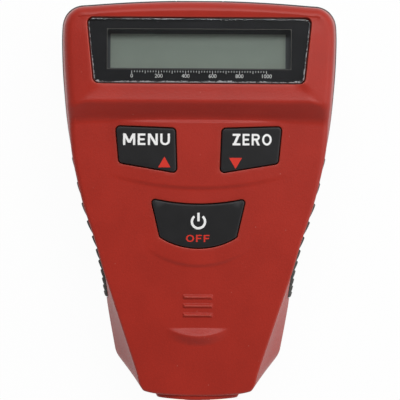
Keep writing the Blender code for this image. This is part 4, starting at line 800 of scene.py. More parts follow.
def bar_rise(x, y):
    depth = max(min(BAR_HALF - abs(x), BAR_WIDTH / 2 - abs(y - bar_y)) for bar_y in BAR_Y)
    return BAR_RISE * ease(depth / BAR_EDGE)


def brow_dip(x, y):
    """The arched bevel that slopes down to the lens's upper edge."""
    arch = lerp(BROW_TOP_Y, BROW_END_Y, (x / BROW_HALF) ** 2)
    foot = LENS_TOP_Y + SEAT_GAP
    return BROW_SLOPE * max(arch - max(y, foot), 0.0) * ease((y - foot + BROW_FADE) / BROW_FADE)


def face_level(x, y):
    return plain_level(x, y) + pad_rise(x, y) + stop_rise(x, y) + bar_rise(x, y) - brow_dip(x, y)


def roof_level(x, y):
    """The inside of the front shell's roof."""
    return min(plain_level(x, y) - SHELL_ROOF, LEDGE_Z - LEDGE_THICK)


def into_roof(x, y):
    """A level within the front shell's roof, where a boss grows out of it."""
    return roof_level(x, y) + SHELL_ROOF / 2


# Surfaces between outlines

def level_at(level, x, y):
    """A level at a point; a plain number is the same everywhere."""
    return level(x, y) if callable(level) else level


def along(level, rise=0.0):
    """A level over x and y from one that depends on y alone."""
    return lambda x, y: level(y) + rise


def ring(bm, outline, level):
    return [bm.verts.new((x, y, level_at(level, x, y))) for x, y in outline]


def band(bm, first, second):
    """The wall between two rings that have point for point the same outline."""
    for i in range(len(first)):
        j = (i + 1) % len(first)
        bm.faces.new((first[i], first[j], second[j], second[i]))


def bands(bm, rings):
    for first, second in zip(rings, rings[1:]):
        band(bm, first, second)


def closed(bm, rows):
    """Joins rows into a wall and caps both of its ends."""
    bands(bm, rows)
    bm.faces.new(rows[0])
    bm.faces.new(reversed(rows[-1]))


def add_turned(bm, profile, steps, place):
    """A solid of revolution whose profile gives a radius and a station for each row."""
    turns = [2 * math.pi * k / steps for k in range(steps)]
    closed(bm, [
        [bm.verts.new(place(radius * math.cos(a), radius * math.sin(a), station)) for a in turns]
        for radius, station in profile
    ])


def within(outline, points):
    """Which points lie inside a closed outline."""
    x, y = points[:, :1], points[:, 1:]
    x1, y1 = outline[:, 0], outline[:, 1]
    x0, y0 = np.roll(x1, 1), np.roll(y1, 1)
    rise = np.where(y1 == y0, 1e-9, y1 - y0)
    crossed = ((y0 > y) != (y1 > y)) & (x < x0 + (y - y0) * (x1 - x0) / rise)
    return crossed.sum(1) % 2 == 1


def lattice(low, high, spacing):
    """Points in staggered rows over a rectangle."""
    rows = np.arange(low[1], high[1], spacing * ROW_PITCH)
    columns = np.arange(low[0], high[0], spacing)
    shift = (np.arange(len(rows)) % 2)[:, None] * spacing / 2
    x = columns[None, :] + shift
    y = np.repeat(rows[:, None], len(columns), axis=1)
    return np.stack([x.ravel(), y.ravel()], axis=1)


def plate(bm, border, holes, level, spacing, zones=()):
    """Fills a ring, round any holes, with a surface that follows a level.

    Each zone is a test on points and the closer spacing that it asks for.
    """
    outlines_here = [np.array([(v.co.x, v.co.y) for v in r]) for r in (border, *holes)]
    fixed = np.concatenate(outlines_here)
    rings_verts = [v for r in (border, *holes) for v in r]
    edges, start = [], 0
    for outline in outlines_here:
        count = len(outline)
        edges += [(start + k, start + (k + 1) % count) for k in range(count)]
        start += count
    tree = KDTree(len(fixed))
    for i, (x, y) in enumerate(fixed.tolist()):
        tree.insert((x, y, 0.0), i)
    tree.balance()
    low, high = fixed.min(0), fixed.max(0)
    points = fixed.tolist()
    taken = []
    for test, step in [*zones, (None, spacing)]:
        candidates = lattice(low, high, step)
        keep = within(outlines_here[0], candidates)
        for hole in outlines_here[1:]:
            keep &= ~within(hole, candidates)
        if test is not None:
            keep &= test(candidates)
        for other in taken:
            keep &= ~other(candidates)
        if test is not None:
            taken.append(test)
        for x, y in candidates[keep].tolist():
            if tree.find((x, y, 0.0))[2] > step * 0.5:
                points.append((x, y))
    flat, _, triangles, sources, _, _ = delaunay_2d_cdt(
        [Vector(p) for p in points], edges, [list(range(len(border)))], 1, MERGE
    )
    flat = np.array([tuple(p) for p in flat])
    verts = []
    for (x, y), source in zip(flat.tolist(), sources):
        at_ring = [index for index in source if index < len(fixed)]
        verts.append(rings_verts[at_ring[0]] if at_ring else bm.verts.new((x, y, level_at(level, x, y))))
    middles = flat[np.array([list(t) for t in triangles])].mean(1)
    solid = np.ones(len(middles), bool)
    for hole in outlines_here[1:]:
        solid &= ~within(hole, middles)
    for triangle, keep in zip(triangles, solid.tolist()):
        if keep:
            bm.faces.new([verts[i] for i in triangle])


def read(items, name, width, kind=float):
    """One property of every item of a mesh, as an array with a row for each."""
    values = np.zeros(len(items) * width, kind)
    items.foreach_get(name, values)
    return values.reshape(-1, width)


def mark_edges(obj):
    """Stores how sharply each point bulges, which tells the finishes where handling wears them and where some
    of them paint an edge highlight.
    """
    mesh = obj.data
    co, normals = read(mesh.vertices, "co", 3) / MM, read(mesh.vertices, "normal", 3)
    pairs = read(mesh.edges, "vertices", 2, int)
    here, there = np.concatenate([pairs, pairs[:, ::-1]]).T
    met = np.bincount(here, minlength=len(co))
    away = co[there] - co[here]
    bulge = np.zeros(len(co))
    np.add.at(bulge, here, -(away * normals[here]).sum(1) / np.maximum((away * away).sum(1), 1e-4))
    bulge /= np.maximum(met, 1)
    for _ in range(2):
        spread = bulge.copy()
        np.add.at(spread, here, bulge[there])
        bulge = spread / (met + 1)
    attribute = mesh.attributes.new("bulge", "FLOAT", "POINT")
    attribute.data.foreach_set("value", np.clip(bulge, -1.0, 1.0).astype(np.float32))


# Case

def rounding(steps):
    """Shares of a radius, inwards and down, round a quarter turn from a wall to its top."""
    turns = [math.pi / 2 * k / steps for k in range(steps + 1)]
    return [(1 - math.cos(a), 1 - math.sin(a)) for a in turns]


def opening_rings(bm, outline, lower):
    """The rounded rim and the wall of an opening in the face; returns its first and last ring."""
    radius = size("opening_round")
    rings = []
    for down, out in rounding(RIM_STEPS):
        sink = radius * down
        rings.append(ring(bm, outline(radius * out), lambda x, y, sink=sink: face_level(x, y) - sink))
    rings.append(ring(bm, outline(0.0), lower))
    bands(bm, rings)
    return rings[0], rings[-1]


def face_zones():
    """Where the face bends closely, and how close its points have to be there."""
    def beside_step(step):
        def test(p):
            line = step[0] + step[2] - np.sqrt(step[2] ** 2 - np.minimum(p[:, 0] ** 2, step[1] ** 2))
            return (np.abs(p[:, 1] - line - PAD_EDGE / 2) < PAD_EDGE / 2 + 0.4) & (np.abs(p[:, 0]) < step[1])
        return test

    def inside(half, low, high):
        return lambda p: (np.abs(p[:, 0]) < half) & (p[:, 1] > low) & (p[:, 1] < high)

    return [
        (inside(BAR_HALF + 0.4, BAR_Y[-1] - 1.0, BAR_Y[0] + 1.0), 0.15),
        (inside(STOP_HALF + 0.3, STOP_Y - STOP_DEPTH - STOP_FADE - 0.3, STOP_Y + 0.3), 0.22),
        (beside_step(STEP_1), 0.24),
        (beside_step(STEP_2), 0.24),
        (inside(STEP_1[1], PAD_TOP_Y - 0.3, PAD_TOP_Y + PAD_TOP_EDGE + 0.3), 0.25),
        (inside(40.0, FACE_TOP_Y - 2.0, CREST_Y + 1.5), 0.45),
        (inside(BROW_HALF + 3.0, LENS_TOP_Y, BROW_TOP_Y + 0.4), 0.25),
    ]


def front_skin():
    """The front moulding as one closed wall, with its openings."""
    parting, face = outlines()
    rounds = np.array([edge_round(y) for _, y in face])
    bm = bmesh.new()
    foot = ring(bm, inset(parting, PART_CHAMFER), along(part_level))
    rings = [foot, ring(bm, parting, along(part_level, PART_CHAMFER))]
    tops = [plain_level(x, y) - r for (x, y), r in zip(face, rounds)]
    for share in WALL_ROWS:
        rings.append([
            bm.verts.new((*lerp_point(p, f, share), lerp(part_level(p[1]), top, share)))
            for p, f, top in zip(parting, face, tops)
        ])
    for inward, down in rounding(ROUND_STEPS):
        outline = inset(face, rounds * inward)
        rings.append([
            bm.verts.new((x, y, plain_level(x, y) - r * down)) for (x, y), r in zip(outline, rounds)
        ])
    bands(bm, rings)
    holes, ends = [], []
    for outline, _ in KEYS.values():
        first, last = opening_rings(bm, lambda grow, o=outline: o(RUN_GAP + grow), roof_level)
        holes.append(first)
        ends.append(last)
    first, pocket = opening_rings(bm, lambda grow: lens_outline(SEAT_GAP + grow), LEDGE_Z)
    plate(bm, rings[-1], [*holes, first], face_level, size("face_spacing"), face_zones())
    sill = ring(bm, window_outline(SILL_GROW), LEDGE_Z)
    sill_end = ring(bm, window_outline(SILL_GROW), roof_level)
    plate(bm, pocket, [sill], LEDGE_Z, LEDGE_SPACING)
    band(bm, sill, sill_end)
    skirt, wall = inset(parting, SKIRT_WALL), inset(parting, SHELL_WALL)
    rebate = LIP_HEIGHT + SEAT_GAP
    inner = [
        foot,
        ring(bm, skirt, along(part_level)),
        ring(bm, skirt, along(part_level, rebate)),
        ring(bm, wall, along(part_level, rebate)),
        ring(bm, inset(face, SHELL_WALL), roof_level),
    ]
    bands(bm, inner)
    plate(bm, inner[-1], [*ends, sill_end], roof_level, INNER_SPACING)
    return made("front_shell", bm, 30)


def add_collar(bm):
    """The shallow collar that stands out round the probe at the nose."""
    low = PART_NOSE_Z + COLLAR_LIFT
    crown = [
        (COLLAR_END_HALF * k / COLLAR_PARTS, lerp(COLLAR_TOP_Z, COLLAR_SIDE_Z, (k / COLLAR_PARTS) ** 2))
        for k in range(-COLLAR_PARTS, COLLAR_PARTS + 1)
    ]
    section = eased(dense([(COLLAR_END_HALF, low), (-COLLAR_END_HALF, low), *crown], 0.7), 3)
    rows = []
    for y, widen, sink in (
        (NOSE_Y + 1.2, COLLAR_ROOT_HALF / COLLAR_END_HALF, 0.0),
        (COLLAR_END_Y + 0.4, 1.01, 0.0),
        (COLLAR_END_Y + 0.1, 1.0, 0.04),
        (COLLAR_END_Y, 1.0, 0.15),
    ):
        bow = COLLAR_BOW if widen < 1.02 else 0.0
        rows.append([
            bm.verts.new((x * widen, y + bow * (x / COLLAR_END_HALF) ** 2, z))
            for x, z in inset(section, sink)
        ])
    bands(bm, rows)
    bm.faces.new(rows[0])
    bmesh.ops.triangulate(bm, faces=[bm.faces.new(reversed(rows[-1]))])


def front_extras():
    """Collar, screw bosses, board posts and saddle, which never touch each other."""
    bm = bmesh.new()
    add_collar(bm)
    for x, y in CASE_SCREWS:
        add_post(bm, x, y, BOSS_RADIUS, BOSS_JOIN_Z + SEAT_GAP, into_roof(x, y))
    for x, y in BOARD_SCREWS:
        add_post(bm, x, y, POST_RADIUS, BOARD_TOP_Z + SEAT_GAP, into_roof(x, y))
    add_saddle(bm, (PROBE_Z + SADDLE_SPLIT, into_roof(0.0, SADDLE_Y)))
    return made("front_extras", bm)


def add_saddle(bm, z):
    """A wall across the nose, between two levels, that holds the probe's sleeve."""
    add_box(bm, reach(SADDLE_HALF), reach(SADDLE_THICK / 2, SADDLE_Y), z)


def add_bore(bm):
    """The stepped hole for the probe's sleeve, open past the nose."""
    wide, narrow = SLEEVE_BODY_RADIUS + SEAT_GAP, SLEEVE_RADIUS + SEAT_GAP
    shoulder = SLEEVE_SHOULDER_Y - SEAT_GAP
    mouth = narrow + BORE_CHAMFER
    profile = [
        (wide, BORE_START_Y),
        (wide, shoulder),
        (narrow, shoulder),
        (narrow, COLLAR_END_Y + 0.5),
        (mouth, COLLAR_END_Y + 0.1),
        (mouth, BORE_PAST_Y),
    ]
    add_turned(bm, profile, 64, lambda side, up, y: (side, y, PROBE_Z + up))


def grip_seats(grow=SEAT_GAP):
    bm = bmesh.new()
    parting, face = outlines()
    for side in (1, -1):
        add_grip(bm, side, parting, face, grow)
    return made("grip_seats", bm)


def front_cuts():
    """The bore for the probe and the pilots for the screws."""
    bm = bmesh.new()
    add_bore(bm)
    for places, head_level, length in (
        (CASE_SCREWS, COUNTERBORE_Z, CASE_SCREW_LENGTH),
        (BOARD_SCREWS, BOARD_LOW_Z, BOARD_SCREW_LENGTH),
    ):
        low = head_level - SEAT_GAP
        for x, y in places:
            add_post(bm, x, y, SCREW_RADIUS + SEAT_GAP, low, low + length + PILOT_DEPTH, 16)
    return made("front_cuts", bm)


def rear_skin():
    """The rear moulding as one closed wall with its locating lip."""
    parting = outlines()[0]
    flares = np.array([
        lerp(-REAR_FLARE, REAR_FLARE, ease((y - FLARE_FROM_Y) / FLARE_SPAN))
        + TOP_FLARE * ease((y - TOP_FLARE_Y) / TOP_FLARE_SPAN)
        for _, y in parting
    ])
    rounds = np.array([back_round(y) for _, y in parting])
    bm = bmesh.new()
    edge = ring(bm, inset(parting, PART_CHAMFER - flares), along(part_level, -SEAT_GAP))
    rings = [edge, ring(bm, inset(parting, -flares), along(part_level, -SEAT_GAP - PART_CHAMFER))]
    for inward, down in rounding(ROUND_STEPS):
        outline = inset(parting, BACK_DRAFT * rounds / BACK_ROUND + rounds * inward)
        rings.append([
            bm.verts.new((x, y, back_level(y) + r * down)) for (x, y), r in zip(outline, rounds)
        ])
    bands(bm, rings)
    plate(bm, rings[-1], [], along(back_level), INNER_SPACING)
    outer_lip = inset(parting, SKIRT_WALL + SEAT_GAP)
    inner_lip = inset(parting, SKIRT_WALL + SEAT_GAP + LIP_WALL)
    inner = [
        edge,
        ring(bm, outer_lip, along(part_level, -SEAT_GAP)),
        ring(bm, outer_lip, along(part_level, LIP_HEIGHT)),
        ring(bm, inner_lip, along(part_level, LIP_HEIGHT)),
        ring(bm, inset(parting, SHELL_WALL + BACK_WALL_MORE), along(back_level, BACK_FLOOR)),
    ]
    bands(bm, inner)
    plate(bm, inner[-1], [], along(back_level, BACK_FLOOR), FLOOR_SPACING)
    return made("rear_shell", bm, 30)


def rear_extras():
    """Battery tub, screw bosses and the lower saddle."""
    bm = bmesh.new()
    along_y = (BAY_START_Y - BAY_WALL, BAY_END_Y + BAY_END_WALL)
    add_box(bm, reach(BAY_HALF + BAY_WALL), along_y, (BACK_FLOOR - BAY_SINK, BAY_ROOF_Z + BAY_WALL))
    for x, y in CASE_SCREWS:
        add_post(bm, x, y, BOSS_RADIUS, BOSS_FOOT_Z, BOSS_JOIN_Z)
    add_saddle(bm, (BACK_NOSE_Z, PROBE_Z - SADDLE_SPLIT))
    return made("rear_extras", bm)


def bay_hollow():
    """The inside of the battery bay, with ribs that cradle the two cells."""
    along_y = (BAY_START_Y, BAY_END_Y)
    bay = box_piece("bay_hollow", (reach(BAY_HALF), along_y, (BACK_FLOOR, BAY_ROOF_Z)))
    low = BACK_FLOOR + SEAT_GAP + DOOR_TONGUE + SEAT_GAP
    ribs = box_piece("bay_ribs", *(
        (reach(BAY_HALF + INTO), reach(RIB_THICK / 2, y), (low, BAY_ROOF_Z + INTO))
        for y in (BAY_START_Y + RIB_INSET, (BAY_START_Y + BAY_END_Y) / 2, BAY_END_Y - RIB_INSET)
    ))
    bm = bmesh.new()
    for x in (-CELL_X, CELL_X):
        add_rod(bm, x, CELL_Z, CELL_RADIUS + SEAT_GAP, (BAY_START_Y - PAST, BAY_END_Y + PAST))
    combine(ribs, "DIFFERENCE", made("cell_space", bm))
    way = (reach(CELL_X + CELL_RADIUS + SEAT_GAP), along_y, (0.0, CELL_Z))
    combine(ribs, "DIFFERENCE", box_piece("cell_way", way))
    combine(bay, "DIFFERENCE", ribs)
    return bay


def door_opening():
    """The slot for the door through the back, and the notch and recess at the end."""
    recess_y = TAB_END_Y - TAB_THICK - RUN_GAP
    opening, *others = [
        box_piece(name, (reach(half + RUN_GAP), (start, TOP_Y + PAST), z))
        for name, half, start, z in (
            ("door_opening", DOOR_HALF, DOOR_START_Y - RUN_GAP, (-PAST, BACK_FLOOR + INTO)),
            ("end_notch", DOOR_END_HALF, BAY_END_Y - INTO, (-PAST, DOOR_END_TOP_Z + RUN_GAP)),
            ("tab_recess", TAB_HALF, recess_y, (DOOR_END_TOP_Z - TAB_RECESS_ROOT, TAB_TOP_Z + RUN_GAP)),
        )
    ]
    for other in others:
        combine(opening, "UNION", other)
    return opening


def rear_cuts():
    """Clearance and counterbore of each case screw, and the bore for the probe."""
    bm = bmesh.new()
    add_bore(bm)
    head, shank = SCREW_HEAD + SEAT_GAP, SCREW_RADIUS + SEAT_GAP
    for x, y in CASE_SCREWS:
        profile = [
            (head + COUNTERBORE_CHAMFER, -COUNTERBORE_CHAMFER),
            (head, back_level(y) + COUNTERBORE_CHAMFER),
            (head, COUNTERBORE_Z),
            (shank, COUNTERBORE_Z),
            (shank, CLEARANCE_END_Z),
        ]
        add_turned(bm, profile, 40, lambda east, north, z: (x + east, y + north, z))
    return made("rear_cuts", bm)


# Side grips

def grip_bounds():
    """The levels along Y where one scallop of a grip ends and the next starts."""
    bounds = [GRIP_TOP_Y]
    for k in range(GRIP_SCALLOPS):
        bounds.append(bounds[-1] - GRIP_FIRST_PITCH * GRIP_PITCH_RATIO**k)
    return bounds


def wall_x(parting, face, y, z):
    """Where the case's side wall stands at a level along its length and height."""
    outer, top_x = half_at(parting, y), half_at(face, y)
    split = part_level(y)
    if z >= split:
        top = plain_level(top_x, y) - edge_round(y)
        return lerp(outer, top_x, (z - split) / (top - split))
    low = back_level(y) + back_round(y)
    draft = BACK_DRAFT * back_round(y) / BACK_ROUND
    return outer - draft * (split - z) / (split - low)


def grip_stations(grow):
    """Levels along a grip and how far it stands proud at each."""
    bounds = grip_bounds()
    if grow:
        return [(y, SEAT_PROUD) for y in (GRIP_TOP_Y + grow, *bounds[1:-1], bounds[-1] - grow)]
    stations = []
    for top, bottom in zip(bounds, bounds[1:]):
        for t in GRIP_SHARES:
            y = lerp(top, bottom, t)
            proud = float(np.interp(-y, [-p[0] for p in GRIP_PROUD], [p[1] for p in GRIP_PROUD]))
            swell = ease(t / GRIP_SHOULDER)
            if t >= GRIP_SHOULDER:
                swell = 1.0 - ((t - GRIP_SHOULDER) / (1.0 - GRIP_SHOULDER)) ** GRIP_POWER
            stations.append((y, max(proud - GRIP_VALLEY * (top - bottom) * (1.0 - swell), GRIP_DEEPEST)))
    return stations


def add_grip(bm, side, parting, face, grow=0.0):
    """A rubber grip with progressive scallops; grown, it is the shape of its seat."""
    bounds = grip_bounds()
    rows = []
    for y, proud in grip_stations(grow):
        t = (GRIP_TOP_Y - y) / (GRIP_TOP_Y - bounds[-1])
        low = lerp(GRIP_LOW_Z[0], GRIP_LOW_Z[1], t) - grow
        high = lerp(GRIP_HIGH_Z[0], GRIP_HIGH_Z[1], t) + grow
        count = SEAT_ROWS if grow else GRIP_ROWS
        outer = []
        for k in range(count + 1):
            z = lerp(low, high, k / count)
            edge = min(z - low, high - z) / GRIP_EDGE
            share = lerp(GRIP_EDGE_SHARE, 1.0, math.sqrt(max(0.0, 1.0 - (1.0 - min(edge, 1.0)) ** 2)))
            outer.append((wall_x(parting, face, y, z) + proud * share, z))
        inner = [
            (wall_x(parting, face, y, z) - GRIP_INSET - grow, z) for z in (high, (low + high) / 2, low)
        ]
        rows.append([bm.verts.new((side * x, y, z)) for x, z in outer + inner])
    closed(bm, rows)


# Keys and their signs

def cap_level(x, y, stem):
    """The key's top: parallel to the face round its own middle, and just proud of it."""
    below, above = (plain_level(0.0, y) for y in reach(KEY_REACH, stem[1]))
    slope = (above - below) / (2 * KEY_REACH)
    middle = face_level(0.0, stem[1])
    return middle + KEY_PROUD + slope * (y - stem[1]) - x * x / (2 * CROWN_RADIUS)


def key_cap(name, outline, stem):
    """A key: a rounded cap through the face, a flange under it and a stem to its switch."""
    flange_top = min(roof_level(x, y) for x, y in outline(KEY_FLANGE)) - SEAT_GAP
    radius = size("key_round")
    bm = bmesh.new()
    foot = ring(bm, outline(KEY_SWELL), flange_top - KEY_FOOT)
    rings = [foot]
    for inward, down in rounding(6):
        sink = radius * down
        edge = outline(KEY_SWELL - radius * inward)
        rings.append(ring(bm, edge, lambda x, y, sink=sink: cap_level(x, y, stem) - sink))
    bands(bm, rings)
    plate(bm, rings[-1], [], lambda x, y: cap_level(x, y, stem), KEY_SPACING)
    bm.faces.new(reversed(foot))
    key = made(name, bm)
    bm = bmesh.new()
    low = ring(bm, outline(KEY_FLANGE), flange_top - KEY_FLANGE_THICK)
    high = ring(bm, outline(KEY_FLANGE), flange_top)
    band(bm, low, high)
    bm.faces.new(high)
    bm.faces.new(reversed(low))
    combine(key, "UNION", made(name + "_flange", bm))
    bm = bmesh.new()
    stem_low = span(name.replace("key", "plunger"))[1].z + SEAT_GAP
    add_post(bm, *stem, STEM_RADIUS, stem_low, flange_top - STEM_INTO)
    combine(key, "UNION", made(name + "_stem", bm))
    return key


def slant(x0, y0, x1, y1, width):
    """A straight stroke with level ends."""
    half = width / 2
    return [(x0 - half, y0), (x1 - half, y1), (x1 + half, y1), (x0 + half, y0)]


def slab(x0, x1, y0, y1):
    return [(x0, y0), (x1, y0), (x1, y1), (x0, y1)]


def bow(centre, radii, width, degrees, steps=17):
    """A curved stroke along part of an ellipse."""
    angles = [math.radians(a) for a in np.linspace(*degrees, steps).tolist()]
    near = (radii[0] - width, radii[1] - width)
    return on_ellipse(centre, radii, angles) + on_ellipse(centre, near, angles[::-1])


def letter(sign, s):
    """The strokes of a capital one unit high, with stroke width s, and its width."""
    if sign == "M":
        return 0.98, [slab(0, s, 0, 1), slab(0.98 - s, 0.98, 0, 1),
                      slant(s * 0.6, 1, 0.49, 0.2, s * 1.2), slant(0.98 - s * 0.6, 1, 0.49, 0.2, s * 1.2)]
    if sign in "EF":
        bars = [slab(0, s, 0, 1), slab(0, 0.62, 1 - s, 1), slab(0, 0.56, 0.5 - s / 2, 0.5 + s / 2)]
        return 0.62, bars + ([slab(0, 0.62, 0, s)] if sign == "E" else [])
    if sign == "N":
        return 0.8, [slab(0, s, 0, 1), slab(0.8 - s, 0.8, 0, 1), slant(s * 0.6, 1, 0.8 - s * 0.6, 0, s * 1.3)]
    if sign == "U":
        return 0.78, [slab(0, s, 0.35, 1), slab(0.78 - s, 0.78, 0.35, 1),
                      bow((0.39, 0.38), (0.39, 0.38), s, (180, 360))]
    if sign == "Z":
        return 0.7, [slab(0, 0.7, 1 - s, 1), slab(0, 0.7, 0, s), slant(0.7 - s * 0.7, 1, s * 0.7, 0, s * 1.4)]
    if sign == "R":
        return 0.74, [slab(0, s, 0, 1), slab(0, 0.46, 1 - s, 1), slab(0, 0.46, 0.42, 0.42 + s),
                      bow((0.44, 0.71), (0.29, 0.29), s, (-90, 90)), slant(0.4, 0.5, 0.63, 0, s * 1.25)]
    return 0.86, [bow((0.43, 0.5), (0.43, 0.5), s, (0, 190)), bow((0.43, 0.5), (0.43, 0.5), s, (180, 370))]


def bold_word(name, word, stroke, height, width, centre, level):
    """Bold capitals of given height and overall width, lying on a level."""
    shapes, x = [], 0.0
    for sign in word:
        advance, strokes = letter(sign, stroke)
        shapes += [[(x + px, py) for px, py in shape] for shape in strokes]
        x += advance + LETTER_GAP
    scale = width / (x - LETTER_GAP)
    left = centre[0] - width / 2
    placed = [[(left + px * scale, centre[1] + (py - 0.5) * height) for px, py in shape] for shape in shapes]
    return flat_sign(name, placed, level)


def digits(name, words, height, places, level):
    """Plain numbers, each centred at its own place on a level."""
    bm = bmesh.new()
    for word, place in zip(words, places):
        curve = bpy.data.curves.new(name, "FONT")
        curve.body = word
        curve.align_x = "CENTER"
        curve.align_y = "CENTER"
        curve.size = height / DIGIT_SHARE
        curve.resolution_u = 3
        text = linked(name, curve)
        mesh = evaluated_mesh(text)
        bpy.data.objects.remove(text)
        mesh.transform(Matrix.Translation((*place, 1.0)))
        bm.from_mesh(mesh)
        bpy.data.meshes.remove(mesh)
    bmesh.ops.remove_doubles(bm, verts=bm.verts, dist=1e-4)
    low = bmesh.ops.extrude_face_region(bm, geom=bm.faces[:])["geom"]
    for v in low:
        if isinstance(v, bmesh.types.BMVert):
            v.co.z = -1.0
    lay_on(bm, level)
    return made(name, bm, 30)


def lay_on(bm, level):
    """Lays a flat sign on a level: its lower side just in the surface, its upper side just out."""
    rise = size("print_height")
    for v in bm.verts:
        v.co.z = level_at(level, v.co.x, v.co.y) + (rise if v.co.z > 0 else -rise)


def turn_of(shape):
    """Twice the area of a closed outline: above 0 when it runs anticlockwise."""
    return sum(a[0] * b[1] - b[0] * a[1] for a, b in zip(shape, shape[1:] + shape[:1]))


def flat_sign(name, shapes, level):
    """Signs from closed outlines, which may overlap, merged and lying on a level."""
    shapes = [shape if turn_of(shape) > 0 else shape[::-1] for shape in shapes]
    points = [p for shape in shapes for p in shape]
    loops, start = [], 0
    for shape in shapes:
        loops.append(list(range(start, start + len(shape))))
        start += len(shape)
    flat, _, triangles, _, _, sources = delaunay_2d_cdt([Vector(p) for p in points], [], loops, 1, MERGE)
    triangles = [t for t, source in zip(triangles, sources) if source]
    bm = bmesh.new()
    for z in (1.0, -1.0):
        verts = [bm.verts.new((*p, z)) for p in flat]
        for triangle in triangles:
            corners = [verts[i] for i in triangle]
            bm.faces.new(corners if z > 0 else reversed(corners))
    bm.verts.index_update()
    rim = [edge for edge in bm.edges if len(edge.link_faces) == 1 and edge.verts[0].co.z > 0]
    bm.verts.ensure_lookup_table()
    count = len(flat)
    for edge in rim:
        a, b = edge.verts
        bm.faces.new((a, b, bm.verts[b.index + count], bm.verts[a.index + count]))
    for v in [v for v in bm.verts if not v.link_faces]:
        bm.verts.remove(v)
    lay_on(bm, level)
    return made(name, bm, 30)


def power_sign(centre, radius, stroke):
    """The outlines of a standby sign: a ring open at the top and an upright bar."""
    bar = slab(*reach(stroke / 2, centre[0]), centre[1] + 0.1, centre[1] + radius * 1.15)
    return [bow(centre, (radius, radius), stroke, (128, 412), 40), bar]


# Trees of nodes

class Value:
    """A socket of a tree that takes part in Python maths."""

    def __init__(self, tree, socket):
        self.tree = tree
        self.socket = socket

    def maths(self, operation, *others, swapped=False):
        terms = [*others, self] if swapped else [self, *others]
        return self.tree.node("Math", dict(enumerate(terms)), operation=operation)

    def __add__(self, other):
        return self.maths("ADD", other)

    def __sub__(self, other):
        return self.maths("SUBTRACT", other)

    def __rsub__(self, other):
        return self.maths("SUBTRACT", other, swapped=True)

    def __mul__(self, other):
        return self.maths("MULTIPLY", other)

    def __truediv__(self, other):
        return self.maths("DIVIDE", other)

    def __mod__(self, other):
        return self.maths("MODULO", other)

    def __gt__(self, other):
        return self.maths("GREATER_THAN", other)

    def __lt__(self, other):
        return self.maths("LESS_THAN", other)

    __radd__ = __add__
    __rmul__ = __mul__

    def __abs__(self):
        return self.maths("ABSOLUTE")

    def limited(self, low=0.0, high=1.0):
        """The value brought to 0 at low and to 1 at high, with smooth ends."""
        inputs = {"Value": self, "From Min": low, "From Max": high}
        return self.tree.node("MapRange", inputs, interpolation_type="SMOOTHSTEP")


class Tree:
    """A tree of nodes that are added by one method."""

    def __init__(self, tree, output):
        self.tree = tree
        self.tree.nodes.clear()
        self.output = self.tree.nodes.new(output)

    def node(self, kind, inputs=None, output=0, family="ShaderNode", **settings):
        """Adds a node, sets it, fills its sockets and gives one of its outputs.

        A socket takes a value, a link or, where it joins several, a list of links.
        """
        node = self.tree.nodes.new(family + kind)
        for key, value in settings.items():
            if key == "stops":
                ramp = node.color_ramp
                while len(ramp.elements) < len(value):
                    ramp.elements.new(1.0)
                for element, (place, shade) in zip(ramp.elements, value):
                    element.position = place
                    element.color = shade
            else:
                setattr(node, key, value)
        for key, value in (inputs or {}).items():
            if not isinstance(value, (Value, list)):
                node.inputs[key].default_value = value
                continue
            for link in value if isinstance(value, list) else [value]:
                self.tree.links.new(link.socket, node.inputs[key])
        return Value(self, node.outputs[output])


class Repeat(Tree):
    """A Geometry Nodes tree that sets one shape on each point of a piece."""

    def __init__(self, name, lengths):
        """Lengths are the tree's own inputs: a name and a default in millimetres."""
        tree = bpy.data.node_groups.new(name, "GeometryNodeTree")
        super().__init__(tree, "NodeGroupOutput")
        tree.interface.new_socket("Geometry", in_out="OUTPUT", socket_type="NodeSocketGeometry")
        tree.interface.new_socket("Geometry", in_out="INPUT", socket_type="NodeSocketGeometry")
        for key, value in lengths.items():
            socket = tree.interface.new_socket(key, in_out="INPUT", socket_type="NodeSocketFloat")
            socket.subtype = "DISTANCE"
            socket.default_value = value * MM
        self.inputs = self.tree.nodes.new("NodeGroupInput")

    def given(self, key):
        return Value(self, self.inputs.outputs[key])

    def shape(self, kind, inputs=None, output=0, **settings):
        return self.node(kind, inputs, output, "GeometryNode", **settings)

    def vector(self, x, y, z):
        return self.node("CombineXYZ", {0: x, 1: y, 2: z})

    def moved(self, geometry, shift=(0.0, 0.0, 0.0), turn=(0.0, 0.0, 0.0)):
        return self.shape("Transform", {"Geometry": geometry, "Translation": shift, "Rotation": turn})

    def joined(self, *parts):
        """Several geometries as one."""
        return self.shape("JoinGeometry", {0: list(parts)})

    def cut(self, body, *tools):
        """The body with every tool cut out of it."""
        inputs = {"Mesh 1": body, "Mesh 2": list(tools)}
        return self.shape("MeshBoolean", inputs, "Mesh", operation="DIFFERENCE", solver="EXACT")

    def close(self, instance, material, scale=None):
        """Ends the tree: the shape on every point, made real, in its finish."""
        inputs = {"Points": self.given("Geometry"), "Instance": instance}
        if scale is not None:
            inputs["Scale"] = scale
        placed = self.shape("InstanceOnPoints", inputs)
        real = self.shape("RealizeInstances", {"Geometry": placed})
        coloured = self.shape("SetMaterial", {"Geometry": real, "Material": material})
        self.tree.links.new(coloured.socket, self.output.inputs[0])
        return self.tree


def repeated(name, tree, places, lengths=None, smooth_angle=40):
    """Runs a tree on points given in millimetres and keeps the result as a plain mesh."""
    mesh = bpy.data.meshes.new(name)
    mesh.from_pydata([(x * MM, y * MM, z * MM) for x, y, z in places], [], [])
    obj = linked(name, mesh)
    modifier = obj.modifiers.new(name, "NODES")
    modifier.node_group = tree
    for item in tree.interface.items_tree:
        if lengths and item.name in lengths:
            modifier[item.identifier] = lengths[item.name] * MM
    return apply_modifiers(obj, smooth_angle)


